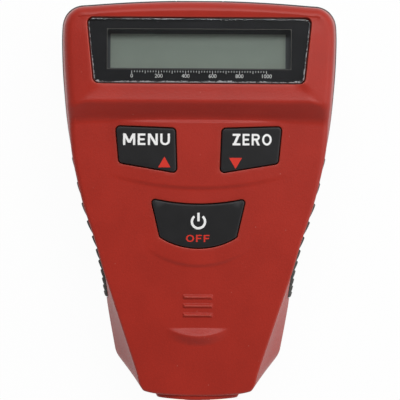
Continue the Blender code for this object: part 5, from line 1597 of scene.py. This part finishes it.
def screw_tree(material):
    """A pan-head screw, head down, with a cross recess and a threaded shank."""
    t = Repeat("screw", {
        "Head radius": SCREW_HEAD, "Head height": SCREW_HEAD_THICK, "Shank radius": SCREW_RADIUS,
        "Length": CASE_SCREW_LENGTH, "Recess width": 0.42, "Recess length": 1.9, "Thread pitch": 0.6,
    })
    height, radius, length = t.given("Head height"), t.given("Head radius"), t.given("Length")
    shank, pitch = t.given("Shank radius"), t.given("Thread pitch")
    root = shank * 0.8
    rim = t.shape("MeshCylinder", {"Vertices": 40, "Radius": radius, "Depth": height * 0.6}, "Mesh")
    rim = t.moved(rim, t.vector(0.0, 0.0, height * 0.7))
    crown = t.shape("MeshCone", {
        "Vertices": 40, "Radius Top": radius, "Radius Bottom": radius * 0.78, "Depth": height * 0.4}, "Mesh")
    slots = []
    for turn in (0.0, math.pi / 2):
        slot_size = t.vector(t.given("Recess length"), t.given("Recess width"), height * 1.2)
        slot = t.shape("MeshCube", {"Size": slot_size}, "Mesh")
        slots.append(t.moved(slot, turn=(0.0, 0.0, turn)))
    head = t.cut(t.joined(rim, crown), *slots)
    core = t.shape("MeshCylinder", {"Vertices": 20, "Radius": root, "Depth": length}, "Mesh")
    core = t.moved(core, t.vector(0.0, 0.0, height + length / 2))
    path = t.shape("CurveSpiral", {
        "Resolution": 16, "Rotations": length / pitch - 1.0, "Start Radius": root, "End Radius": root,
        "Height": length - pitch})
    bead = t.shape("CurvePrimitiveCircle", {"Resolution": 4, "Radius": shank * 0.2})
    thread = t.shape("CurveToMesh", {"Curve": path, "Profile Curve": bead, "Fill Caps": True})
    thread = t.moved(thread, t.vector(0.0, 0.0, height + pitch * 0.5))
    return t.close(t.joined(head, core, thread), material)


def tick_tree(material):
    """Scale ticks that hang from their points, every fifth one longer."""
    t = Repeat("tick", {"Width": 0.13, "Short": 0.4, "Long": 0.7, "Thickness": 0.02})
    bar = t.shape("MeshCube", {"Size": t.vector(t.given("Width"), 1.0, t.given("Thickness"))}, "Mesh")
    bar = t.moved(bar, (0.0, -0.5, 0.0))
    fifth = t.shape("InputIndex") % SCALE_LONG < 0.5
    length = t.given("Short") + fifth * (t.given("Long") - t.given("Short"))
    return t.close(bar, material, t.vector(1.0, length, 1.0))


def groove_tree(material):
    """A rounded groove's cutter that lies along X on each point."""
    t = Repeat("groove", {"Radius": 0.45, "Length": 13.0})
    inputs = {"Vertices": 20, "Radius": t.given("Radius"), "Depth": t.given("Length")}
    rod = t.shape("MeshCylinder", inputs, "Mesh")
    return t.close(t.moved(rod, turn=(0.0, math.pi / 2, 0.0)), material)


# Finishes

class Finish(Tree):
    """A material, or with another tree a world, built from nodes."""

    def __init__(self, name, world=None):
        self.material = bpy.data.materials.new(name) if world is None else world
        self.material.use_nodes = True
        output = "ShaderNodeOutputMaterial" if world is None else "ShaderNodeOutputWorld"
        super().__init__(self.material.node_tree, output)

    def place(self):
        """Object coordinates in millimetres."""
        here = self.node("TexCoord", output="Object")
        return self.node("VectorMath", {0: here, "Scale": 1 / MM}, operation="SCALE")

    def axes(self):
        place = self.place()
        return [self.node("SeparateXYZ", {0: place}, axis) for axis in "XY"]

    def noise(self, grain, detail=2.0, roughness=0.5, stretch=(1.0, 1.0, 1.0), seed=0.0):
        """Noise whose grain is given in millimetres."""
        where = self.node("Mapping", {"Vector": self.place(), "Scale": stretch})
        inputs = {"Vector": where, "W": seed, "Scale": 1 / grain, "Detail": detail, "Roughness": roughness}
        return self.node("TexNoise", inputs, "Fac", noise_dimensions="4D")

    def cells(self, grain):
        """The distance to the middle of a cell, for cells of a size in millimetres."""
        return self.node("TexVoronoi", {"Vector": self.place(), "Scale": 1 / grain}, "Distance")

    def edge_wear_and_sheen(self, low=0.05, high=0.6):
        """Where an edge bulges, from the mesh's own bulge: handling wears it, and on the red case and the
        keys a painted highlight lightens it.
        """
        return self.node("Attribute", output="Fac", attribute_name="bulge").limited(low, high)

    def mix(self, share, first, second):
        """Two colours mixed by a share."""
        return self.node("Mix", {0: share, 6: first, 7: second}, 2, data_type="RGBA")

    def drift(self, base, cloud, dark, light, low=0.3):
        """A colour that drifts between a darker and a lighter shade of itself."""
        return self.mix(cloud.limited(low, 0.7), shaded(base, dark), shaded(base, light))

    def bump(self, height, depth, before=None):
        """A bump whose height is in millimetres."""
        inputs = {"Height": height, "Distance": depth * MM, "Strength": 1.0}
        if before is not None:
            inputs["Normal"] = before
        return self.node("Bump", inputs)

    def surface(self, **sockets):
        """The Principled surface, with its sockets by name."""
        names = {key: key.replace("_", " ").title().replace("Ior", "IOR") for key in sockets}
        self.show(self.node("BsdfPrincipled", {names[key]: value for key, value in sockets.items()}))

    def show(self, shader):
        self.tree.links.new(shader.socket, self.output.inputs["Surface"])


FINISHES = {}


def finish(name):
    """The named finish, made once."""
    if name not in FINISHES:
        FINISHES[name] = MAKERS[name](name).material
    return FINISHES[name]


def shaded(shade, factor):
    return (*(min(1.0, c * factor) for c in shade[:3]), 1.0)


def red_plastic(name):
    """Spark-eroded texture on red plastic, a little polished where hands rub it, and paler along bulging
    edges: partly rubbed wear, partly a painted highlight.
    """
    f = Finish(name)
    base = colour("case")
    grain = f.noise(size("texture_grain"), 3.0, 0.6)
    coarse = f.noise(size("texture_grain") * 2.8, 2.0, 0.6, seed=9.0)
    cloud = f.noise(9.0, 3.0, 0.55, seed=3.0)
    fleck = (f.cells(1.7) < 0.07) * (f.noise(2.5, 1.0, seed=8.0) > 0.6)
    edge_wear_and_sheen = f.edge_wear_and_sheen(0.08, 0.8)
    tint = f.drift(base, cloud, 0.95, 1.05)
    tint = f.mix(coarse.limited(0.4, 0.7) * 0.2, tint, shaded(base, 1.25))
    # Painted highlight and wear: bulging edges mixed towards a paler pink, partly rubbed wear, partly
    # standing in for the sheen on crests and rims.
    tint = f.mix(edge_wear_and_sheen * 0.28, tint, (0.46, 0.09, 0.06, 1.0))
    tint = f.mix(fleck * 0.4, tint, (0.55, 0.2, 0.16, 1.0))
    f.surface(
        base_color=tint,
        roughness=0.42 + cloud * 0.08 - edge_wear_and_sheen * 0.06,
        normal=f.bump(grain, 0.016, f.bump(coarse, 0.035)),
        specular_ior_level=0.37,
    )
    return f


def grey_plastic(name):
    """The same texture on dark grey plastic."""
    f = Finish(name)
    base = colour("back")
    grain = f.noise(size("texture_grain") * 1.2, 3.0, 0.6)
    cloud = f.noise(11.0, 3.0, seed=5.0)
    edge_wear_and_sheen = f.edge_wear_and_sheen(0.1, 0.9)
    tint = f.drift(base, cloud, 0.85, 1.2)
    tint = f.mix(edge_wear_and_sheen * 0.35, tint, (0.10, 0.10, 0.105, 1.0))
    f.surface(base_color=tint, roughness=0.52 + cloud * 0.1 - edge_wear_and_sheen * 0.12, normal=f.bump(grain, 0.02))
    return f


def grip_rubber(name):
    """Matte rubber with dust caught in its pores."""
    f = Finish(name)
    base = colour("grip")
    grain = f.noise(0.12, 2.0, 0.6)
    dust = f.noise(3.0, 4.0, 0.65, seed=2.0)
    edge_wear_and_sheen = f.edge_wear_and_sheen(0.1, 0.7)
    tint = f.mix(dust.limited(0.45, 0.75) * 0.5, base, (0.13, 0.125, 0.11, 1.0))
    tint = f.mix(edge_wear_and_sheen * 0.3, tint, (0.10, 0.098, 0.09, 1.0))
    f.surface(base_color=tint, roughness=0.72 + dust * 0.12 - edge_wear_and_sheen * 0.1, normal=f.bump(grain, 0.012))
    return f


def key_rubber(name):
    """Smooth matte rubber, a little shinier in patches, and paler along its bulging edges: partly rubbed
    wear, partly a painted highlight.
    """
    f = Finish(name)
    base = colour("key")
    grain = f.noise(0.09, 2.0)
    cloud = f.noise(4.0, 2.0, seed=6.0)
    edge_wear_and_sheen = f.edge_wear_and_sheen(0.1, 0.9)
    tint = f.drift(base, cloud, 1.0, 1.35, 0.35)
    # Painted highlight and wear: bulging edges mixed towards a paler grey, partly rubbed wear, partly
    # standing in for light caught on the key's rim.
    tint = f.mix(edge_wear_and_sheen * 0.45, tint, (0.045, 0.045, 0.048, 1.0))
    f.surface(
        base_color=tint,
        roughness=0.5 + cloud * 0.12,
        normal=f.bump(grain, 0.008),
        specular_ior_level=0.35,
    )
    return f


def printed(tint_name):
    def make(name):
        """Pad-printed ink, thinner in places."""
        f = Finish(name)
        base = colour(tint_name)
        wear = f.noise(0.5, 3.0, 0.6)
        tint = f.mix(wear.limited(0.55, 0.85) * 0.25, base, shaded(base, 0.6))
        f.surface(base_color=tint, roughness=0.42 + wear * 0.12, normal=f.bump(wear, 0.004))
        return f
    return make


def clear_plastic(name):
    """The lens: clear, with faint hairline scratches, and scuffed in patches along its edge."""
    f = Finish(name)
    x, y = f.axes()
    slope = (LENS_TOP_HALF - LENS_BOTTOM_HALF) / (LENS_TOP_Y - LENS_BOTTOM_Y)
    beside = (y - LENS_BOTTOM_Y) * slope + LENS_BOTTOM_HALF - abs(x)
    chips = f.noise(0.5, 3.0, 0.7, seed=4.0).limited(0.38, 0.6)
    patches = f.noise(5.0, 3.0, 0.6, seed=9.0).limited(0.36, 0.62)
    scuff = chips * (0.2 + patches * 0.45)
    bottom = (scuff - (y - LENS_BOTTOM_Y)).limited(0.0, 0.08)
    sides = (scuff * 0.6 - beside).limited(0.0, 0.08)
    top = (scuff * 0.45 - (LENS_TOP_Y - y)).limited(0.0, 0.08)
    frost = bottom.maths("MAXIMUM", sides).maths("MAXIMUM", top)
    speck = (f.cells(2.2) < 0.03) * (f.noise(3.0, 1.0, seed=12.0) > 0.55)
    hair = f.noise(0.25, 2.0, 0.6, (0.04, 1.0, 1.0), 1.0)
    inputs = {"Color": (1.0, 1.0, 1.0, 1.0), "Roughness": 0.07, "Normal": f.bump(hair, 0.0003)}
    gloss = f.node("BsdfGlossy", inputs)
    clear = f.node("BsdfTransparent", {"Color": (0.97, 0.98, 0.98, 1.0)})
    edge = f.node("BsdfDiffuse", {"Color": (0.48, 0.49, 0.50, 1.0), "Roughness": 0.5})
    fresnel = f.node("Fresnel", {"IOR": 1.49})
    body = f.node("MixShader", {0: fresnel, 1: clear, 2: gloss})
    f.show(f.node("MixShader", {0: (frost * 0.85).maths("MAXIMUM", speck * 0.6), 1: body, 2: edge}))
    return f


def border_ink(name):
    """Black ink behind the lens, with a painted highlight: a thin light line round the window."""
    f = Finish(name)
    base = colour("border")
    cloud = f.noise(5.0, 2.0)
    x, y = f.axes()
    middle, half = (WINDOW_BOTTOM_Y + WINDOW_TOP_Y) / 2, (WINDOW_TOP_Y - WINDOW_BOTTOM_Y) / 2
    off_window = (abs(x) - WINDOW_HALF).maths("MAXIMUM", abs(y - middle) - half)
    # Painted highlight: a thin light line along the window's edge, where the step in the ink would catch the
    # light.
    line = (off_window < 0.13) * (0.55 + f.noise(1.5, 2.0, seed=3.0) * 0.6)
    tint = f.drift(base, cloud, 1.0, 1.4)
    f.surface(
        base_color=f.mix(line, tint, (0.15, 0.14, 0.13, 1.0)),
        roughness=0.35 + cloud * 0.1,
        normal=f.bump(f.noise(0.3), 0.002),
        specular_ior_level=0.15,
    )
    return f


def display_glass(name):
    """The display's panel: a grey-green reflector inside a dark frame, with faint streaks, and painted shade
    that darkens it towards its top edge.
    """
    f = Finish(name)
    x, y = f.axes()
    inside = (x > GLASS_X[0]) * (x < GLASS_X[1]) * (y > GLASS_Y[0]) * (y < GLASS_Y[1])
    cloud = f.noise(7.0, 2.0)
    fibre = f.noise(0.12, 2.0, 0.5, (0.25, 1.0, 1.0), 2.0)
    base = colour("glass")
    # Painted shade: the panel goes darker towards its top edge, under the rim of its recess.
    share = (GLASS_Y[1] - y) / (GLASS_Y[1] - GLASS_Y[0])
    reflector_with_painted_shade = f.mix(share, shaded(base, 0.86), shaded(base, 1.12))
    reflector_with_painted_shade = f.mix(fibre.limited(0.3, 0.75) * 0.12, reflector_with_painted_shade, shaded(base, 1.6))
    reflector_with_painted_shade = f.mix(cloud.limited(0.4, 0.7) * 0.1, reflector_with_painted_shade, shaded(base, 0.7))
    f.surface(
        base_color=f.mix(inside, (0.048, 0.057, 0.063, 1.0), reflector_with_painted_shade),
        roughness=0.4 + fibre * 0.15,
        normal=f.bump(fibre, 0.003),
    )
    return f


def plain_finish(base, rough, metal=0.0, grain=0.15, depth=0.01, spread=0.2, stretch=(1.0, 1.0, 1.0)):
    """A maker of a finish with a grain and a slight drift of its colour."""
    def make(name):
        f = Finish(name)
        fine = f.noise(grain, 3.0, 0.6, stretch)
        cloud = f.noise(grain * 25, 2.0, seed=1.0)
        tint = f.drift(base, cloud, 1 - spread, 1 + spread)
        f.surface(
            base_color=tint,
            metallic=metal,
            roughness=rough + cloud * 0.12 - 0.06 + fine * 0.06,
            normal=f.bump(fine, depth),
        )
        return f
    return make


def board_mask(name):
    """Green solder mask over tracks, with tinned pads in rows."""
    f = Finish(name)
    x, y = f.axes()
    lanes = (x * 0.55 + y * 0.08).maths("FRACT")
    lanes_y = (y * 0.42).maths("FRACT")
    track = (lanes < 0.16) * (f.noise(6.0, 0.0, seed=2.0) > 0.48)
    track_y = (lanes_y < 0.14) * (f.noise(5.0, 0.0, seed=7.0) > 0.52)
    pads = f.cells(1.9) < 0.22
    tint = f.mix(track.maths("MAXIMUM", track_y), (0.012, 0.10, 0.035, 1.0), (0.03, 0.19, 0.07, 1.0))
    on_pad = pads * (f.noise(4.0, 1.0, seed=5.0) > 0.62)
    tint = f.mix(on_pad, tint, (0.62, 0.62, 0.6, 1.0))
    f.surface(
        base_color=tint, metallic=on_pad * 0.9, roughness=0.4 - on_pad * 0.1, normal=f.bump(track, 0.02)
    )
    return f


def cell_jacket(name):
    """A plain printed foil: a dark body, a copper-coloured band and bare steel ends."""
    f = Finish(name)
    x, y = f.axes()
    low, high = span("left_cell")[0].y, span("left_cell")[1].y
    top = (y > high - 12.0) * (x < 0.0)
    other = (y < low + 12.0) * (x > 0.0)
    band_here = top.maths("MAXIMUM", other)
    ends = (y > high - 1.0).maths("MAXIMUM", y < low + 0.3)
    rub = f.noise(1.2, 3.0, 0.6)
    tint = f.mix(band_here, (0.02, 0.025, 0.035, 1.0), (0.55, 0.24, 0.10, 1.0))
    tint = f.mix(ends, tint, (0.55, 0.54, 0.52, 1.0))
    f.surface(
        base_color=tint,
        metallic=(band_here * 0.6).maths("MAXIMUM", ends * 0.9),
        roughness=0.28 + rub * 0.15,
        normal=f.bump(rub, 0.006),
    )
    return f


MAKERS = {
    "red_plastic": red_plastic,
    "grey_plastic": grey_plastic,
    "grip_rubber": grip_rubber,
    "key_rubber": key_rubber,
    "white_print": printed("sign"),
    "red_print": printed("red_sign"),
    "clear_plastic": clear_plastic,
    "border_ink": border_ink,
    "display_glass": display_glass,
    "black_foam": plain_finish((0.012, 0.012, 0.012), 0.9, grain=0.25, depth=0.05),
    "white_plastic": plain_finish((0.68, 0.68, 0.65), 0.5),
    "board": board_mask,
    "chip_plastic": plain_finish((0.014, 0.014, 0.015), 0.55, grain=0.1),
    "nickel": plain_finish((0.62, 0.60, 0.56), 0.28, 1.0, 0.2, 0.004, 0.1),
    "steel": plain_finish((0.50, 0.50, 0.51), 0.34, 1.0, 0.12, 0.006, 0.12, (1.0, 0.15, 1.0)),
    "copper": plain_finish((0.62, 0.25, 0.11), 0.32, 1.0, 0.18, 0.03, 0.12, (0.05, 1.0, 0.05)),
    "cell_jacket": cell_jacket,
    "cable_jacket": plain_finish((0.25, 0.02, 0.02), 0.45),
}

# Nodes that keep their own mesh, by finish
CARRIED = {
    "black_foam": ("window_gasket", "lower_contact_strip", "upper_contact_strip"),
    "display_glass": ("lcd_panel",),
    "white_plastic": ("lcd_holder", "probe_connector"),
    "board": ("circuit_board",),
    "chip_plastic": ("processor_chip", "mode_plunger", "unit_plunger", "off_plunger"),
    "nickel": (
        "mode_switch", "unit_switch", "off_switch", "probe_sleeve", "probe_retainer", "positive_contact",
        "negative_contact", "bridge_contact", "bridge_spring", "terminal_spring",
    ),
    "steel": ("probe_body", "probe_core", "probe_spring"),
    "copper": ("probe_coil",),
    "cable_jacket": ("probe_cable",),
    "cell_jacket": ("left_cell", "right_cell"),
}


# Battery door and fasteners

def across(name, half, outline):
    """A closed outline in Y and Z, drawn across the case to both sides."""
    bm = bmesh.new()
    closed(bm, [[bm.verts.new((x, y, z)) for y, z in outline] for x in reach(half)])
    return made(name, bm)


def door_piece():
    """The sliding door with its upturned end, thumb tab, tongues and grooves for the thumb."""
    low, outer_end, radius = DOOR_FACE_Z, TOP_Y - DOOR_END_SINK, BACK_ROUND - DOOR_ROUND_LESS
    arc = [(outer_end - radius * back, low + radius * up) for up, back in rounding(10)]
    inner_end = outer_end - DOOR_END_THICK
    inner = [
        (inner_end, DOOR_END_TOP_Z),
        (inner_end, low + DOOR_CORNER_RISE),
        (inner_end - DOOR_CORNER_RUN, low + DOOR_THICK),
        (DOOR_START_Y, low + DOOR_THICK),
    ]
    door = across("door", DOOR_HALF, [(DOOR_START_Y, low), *arc, (outer_end, DOOR_END_TOP_Z), *inner])
    wide_from = BAY_END_Y + DOOR_END_START
    end = [p for p in arc if p[0] >= wide_from]
    foot = (wide_from, end[0][1] + DOOR_END_LIFT)
    end = [foot, *end, (outer_end, DOOR_END_TOP_Z), (inner_end, DOOR_END_TOP_Z)]
    combine(door, "UNION", across("door_end", DOOR_END_HALF, end))
    tongue = BACK_FLOOR + SEAT_GAP
    rail = (DOOR_START_Y + RAIL_START, BAY_END_Y - RAIL_END)
    well = (rail[0] - INTO, rail[1] + INTO)
    well_half, well_z = DOOR_HALF - DOOR_WELL_INSET, (low + DOOR_THICK - DOOR_WELL_CUT, DOOR_WELL_TOP_Z)
    tab = (TAB_END_Y - TAB_THICK, TAB_END_Y)
    for name, operation, half, y, z in (
        ("door_spine", "UNION", DOOR_HALF, rail, (low + DOOR_SPINE_RISE, tongue + DOOR_TONGUE / 2)),
        ("door_tongues", "UNION", DOOR_TONGUE_HALF, rail, (tongue, tongue + DOOR_TONGUE)),
        ("door_well", "DIFFERENCE", well_half, well, well_z),
        ("door_tab", "UNION", TAB_HALF, tab, (DOOR_END_TOP_Z - TAB_ROOT, TAB_TOP_Z)),
    ):
        combine(door, operation, box_piece(name, (reach(half), y, z)))
    places = [(0.0, GROOVE_START_Y + GROOVE_PITCH * k, low - GROOVE_SINK) for k in range(GROOVES)]
    grooves = repeated("door_grooves", groove_tree(finish("grey_plastic")), places)
    combine(door, "DIFFERENCE", grooves)
    return round_edges(door, DOOR_EDGE, 2)


# Operators

def handled(obj, name, body, kind, node):
    """An outer piece whose bulging edges are marked for wear and painted highlight, in its finish and on its
    body.
    """
    mark_edges(obj)
    finished(obj, body, finish(kind), [node])
    obj.name = name


class GAUGE_OT_case(bpy.types.Operator):
    """Make the two moulded shells of the case"""

    bl_idname = "gauge.make_case"
    bl_label = "Make case"

    def execute(self, context):
        front = front_skin()
        combine(front, "UNION", front_extras())
        combine(front, "DIFFERENCE", front_cuts())
        combine(front, "DIFFERENCE", grip_seats())
        handled(front, "front_case", "housing", "red_plastic", "front_shell")
        rear = rear_skin()
        combine(rear, "UNION", rear_extras())
        for tool in (bay_hollow(), door_opening(), rear_cuts(), grip_seats()):
            combine(rear, "DIFFERENCE", tool)
        handled(rear, "rear_case", "housing", "grey_plastic", "rear_shell")
        return {"FINISHED"}


class GAUGE_OT_door(bpy.types.Operator):
    """Make the battery door"""

    bl_idname = "gauge.make_door"
    bl_label = "Make battery door"

    def execute(self, context):
        handled(door_piece(), "bay_door", "door", "grey_plastic", "battery_door")
        return {"FINISHED"}


class GAUGE_OT_screws(bpy.types.Operator):
    """Make the screws of the case and the board"""

    bl_idname = "gauge.make_screws"
    bl_label = "Make screws"

    def execute(self, context):
        tree = screw_tree(finish("steel"))
        for kind, count in (("case_screw", 4), ("board_screw", 3)):
            nodes = [f"{kind}_{k}" for k in range(1, count + 1)]
            places, length = [], 0.0
            for node in nodes:
                low, high = span(node)
                places.append(((low.x + high.x) / 2, (low.y + high.y) / 2, low.z))
                length = high.z - low.z - SCREW_HEAD_THICK
            screws = repeated(kind + "s", tree, places, {"Length": length})
            finished(screws, "housing", None, nodes)
        return {"FINISHED"}


class GAUGE_OT_grips(bpy.types.Operator):
    """Make the two rubber side grips"""

    bl_idname = "gauge.make_grips"
    bl_label = "Make grips"

    def execute(self, context):
        parting, face = outlines()
        for side, name in ((1, "right_grip"), (-1, "left_grip")):
            bm = bmesh.new()
            add_grip(bm, side, parting, face)
            grip = made(name + "_rubber", bm, 30)
            handled(grip, name + "_rubber", "housing", "grip_rubber", name)
        return {"FINISHED"}


class GAUGE_OT_keys(bpy.types.Operator):
    """Make the three keys and their printed signs"""

    bl_idname = "gauge.make_keys"
    bl_label = "Make keys"

    def execute(self, context):
        for name, (outline, stem) in KEYS.items():
            key = key_cap(name + "_key", outline, stem)
            handled(key, name + "_key_cap", name + "_button", "key_rubber", name + "_key")
        self.signs()
        return {"FINISHED"}

    def signs(self):
        """White words and red signs on the keys."""
        for key, ink, draw, *how in (
            ("mode", "white_print", bold_word, "left_word", "MENU", 0.18, 2.8, 11.4, (-12.7, 15.4)),
            ("unit", "white_print", bold_word, "right_word", "ZERO", 0.18, 2.8, 9.5, (13.0, 15.45)),
            ("mode", "red_print", flat_sign, "up_sign", [[(-9.85, 8.6), (-8.3, 11.2), (-6.85, 8.6)]]),
            ("unit", "red_print", flat_sign, "down_sign", [[(7.44, 11.0), (9.0, 8.3), (10.55, 11.0)]]),
            ("off", "white_print", flat_sign, "power_sign", power_sign((0.05, -4.6), 1.9, 0.58)),
            ("off", "red_print", bold_word, "off_word", "OFF", 0.17, 1.75, 5.75, (-0.1, -8.7)),
        ):
            stem = KEYS[key][1]
            sign = draw(*how, lambda x, y: cap_level(x, y, stem))
            finished(sign, key + "_button", finish(ink))


class GAUGE_OT_display(bpy.types.Operator):
    """Make the lens, its printed border and the scale"""

    bl_idname = "gauge.make_display"
    bl_label = "Make display"

    def execute(self, context):
        low, high = LENS_TOP_Z - LENS_THICK, LENS_TOP_Z
        bm = bmesh.new()
        rings = [ring(bm, lens_outline(), low)]
        for inward, down in rounding(RIM_STEPS):
            rings.append(ring(bm, lens_outline(-LENS_EDGE * inward), high - LENS_EDGE * down))
        bands(bm, rings)
        plate(bm, rings[-1], [], high, LENS_SPACING)
        plate(bm, rings[0], [], low, LENS_SPACING)
        lens = made("lens", bm, 50)
        finished(lens, "housing", finish("clear_plastic"), ["display_lens"])
        bm = bmesh.new()
        levels = [low + depth for depth in INK_LEVELS]
        outer = [ring(bm, lens_outline(-INK_INSET), z) for z in levels]
        inner = [ring(bm, window_outline(), z) for z in levels]
        bands(bm, outer)
        bands(bm, inner)
        for z, border, hole in zip(levels, outer, inner):
            plate(bm, border, [hole], z, LEDGE_SPACING)
        border = made("lens_border", bm)
        finished(border, "housing", finish("border_ink"), [])
        self.scale(low + SCALE_LEVEL)
        return {"FINISHED"}

    def scale(self, level):
        """A plain scale of ticks and numbers under the window."""
        white = finish("white_print")
        step = 2 * SCALE_HALF / (SCALE_TICKS - 1)
        places = [(step * k - SCALE_HALF, SCALE_Y, level) for k in range(SCALE_TICKS)]
        ticks = repeated("scale_ticks", tick_tree(white), places)
        finished(ticks, "housing", None)
        marks = range(0, SCALE_TICKS, SCALE_LONG * SCALE_SKIP)
        words = [str(SCALE_STEP * k) for k in marks]
        spots = [(step * k - SCALE_HALF, SCALE_Y - SCALE_DIGIT_DROP) for k in marks]
        finished(digits("scale_numbers", words, SCALE_DIGIT, spots, level), "housing", white)


class GAUGE_OT_inside(bpy.types.Operator):
    """Give every carried-over piece its finish"""

    bl_idname = "gauge.finish_inside"
    bl_label = "Finish the inside"

    def execute(self, context):
        for kind, names in CARRIED.items():
            for name in names:
                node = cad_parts[name]
                if node.hide_render:
                    continue
                for slot in node.material_slots:
                    slot.material = finish(kind)
        return {"FINISHED"}


class GAUGE_OT_stage(bpy.types.Operator):
    """Make the floor, the world, the lamps and the camera"""

    bl_idname = "gauge.make_stage"
    bl_label = "Make stage"

    def execute(self, context):
        scene = context.scene
        scene.view_settings.view_transform = "Standard"
        self.floor()
        self.world(scene)
        self.lamps()
        camera = bpy.data.cameras.new("camera")
        camera.sensor_width = SENSOR
        camera.lens = SENSOR * VIEW_DISTANCE / VIEW_SPAN
        camera.clip_start = 0.01
        stand = linked("camera", camera)
        stand.location = (VIEW_CENTRE[0] * MM, VIEW_CENTRE[1] * MM, (VIEW_LEVEL + VIEW_DISTANCE) * MM)
        stand.rotation_euler.z = math.radians(VIEW_TURN)
        scene.camera = stand
        return {"FINISHED"}

    def floor(self):
        bm = bmesh.new()
        bmesh.ops.create_grid(bm, x_segments=1, y_segments=1, size=FLOOR_HALF)
        bmesh.ops.translate(bm, vec=Vector((0.0, 0.0, -FLOOR_SINK)), verts=bm.verts)
        floor = made("floor", bm)
        f = Finish("floor")
        kinds = ("Is Camera Ray", "Is Glossy Ray", "Is Transmission Ray")
        eye, gloss, glass = (f.node("LightPath", output=kind) for kind in kinds)
        seen = eye.maths("MAXIMUM", gloss).maths("MAXIMUM", glass)
        plain = f.node("BsdfDiffuse", {"Color": (0.8, 0.8, 0.8, 1.0)})
        bright = f.node("Emission", {"Color": (1.0, 1.0, 1.0, 1.0), "Strength": 1.0})
        f.show(f.node("MixShader", {0: seen * 0.96, 1: plain, 2: bright}))
        floor.data.materials.append(f.material)

    def world(self, scene):
        """White where it is seen, bright near the horizon and dim overhead for the lighting."""
        world = bpy.data.worlds.new("studio")
        scene.world = world
        f = Finish("studio", world)
        direction = f.node("TexCoord", output="Generated")
        height = f.node("SeparateXYZ", {0: direction}, "Z")
        greys = ((0.0, 0.42), (0.5, 0.55), (0.8, 0.45), (0.95, 0.12))
        stops = [(place, (grey, grey, grey, 1.0)) for place, grey in greys]
        sky = f.node("ValToRGB", {"Fac": height}, stops=stops)
        sideways = f.node("SeparateXYZ", {0: direction}, "X")
        sky = f.node("VectorMath", {0: sky, "Scale": 1.0 + sideways * 0.45}, operation="SCALE")
        seen = f.node("LightPath", output="Is Camera Ray")
        tint = f.mix(seen, sky, (1.0, 1.0, 1.0, 1.0))
        f.show(f.node("Background", {"Color": tint, "Strength": 1.0}))

    def lamps(self):
        """A wide soft lamp past the display's end and a small one from the right."""
        for name, place, width, depth, power in (
            ("key_lamp", (0.1, 0.36, 0.58), 0.7, 0.25, 3.3),
            ("side_lamp", (0.65, 0.05, 0.35), 0.3, 0.3, 0.7),
        ):
            data = bpy.data.lights.new(name, "AREA")
            data.shape = "RECTANGLE"
            data.size = width
            data.size_y = depth
            data.energy = power
            lamp = linked(name, data)
            lamp.location = place
            aim = Vector((0.0, 0.0, 0.01)) - Vector(place)
            lamp.rotation_euler = aim.to_track_quat("-Z", "Y").to_euler()


STEPS = (
    "make_case", "make_door", "make_screws", "make_grips", "make_keys",
    "make_display", "finish_inside", "make_stage",
)


class GAUGE_PT_panel(bpy.types.Panel):
    """The steps that make the gauge, with its sizes and colours"""

    bl_idname = "GAUGE_PT_panel"
    bl_label = "Coating thickness gauge"
    bl_space_type = "VIEW_3D"
    bl_region_type = "UI"
    bl_category = "Gauge"

    def draw(self, context):
        layout = self.layout
        for step in STEPS:
            layout.operator("gauge." + step)
        for group in (context.scene.gauge_sizes, context.scene.gauge_colours):
            box = layout.box()
            for name in group.bl_rna.properties.keys():
                if name not in ("rna_type", "name"):
                    box.prop(group, name)


CLASSES = (
    GaugeSizes,
    GaugeColours,
    GAUGE_OT_case,
    GAUGE_OT_door,
    GAUGE_OT_screws,
    GAUGE_OT_grips,
    GAUGE_OT_keys,
    GAUGE_OT_display,
    GAUGE_OT_inside,
    GAUGE_OT_stage,
    GAUGE_PT_panel,
)


def register():
    for cls in CLASSES:
        bpy.utils.register_class(cls)
    bpy.types.Scene.gauge_sizes = bpy.props.PointerProperty(type=GaugeSizes)
    bpy.types.Scene.gauge_colours = bpy.props.PointerProperty(type=GaugeColours)


def unregister():
    del bpy.types.Scene.gauge_colours
    del bpy.types.Scene.gauge_sizes
    for cls in reversed(CLASSES):
        bpy.utils.unregister_class(cls)


def main():
    register()
    for step in STEPS:
        getattr(bpy.ops.gauge, step)()
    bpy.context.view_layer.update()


if __name__ == "__main__":
    main()
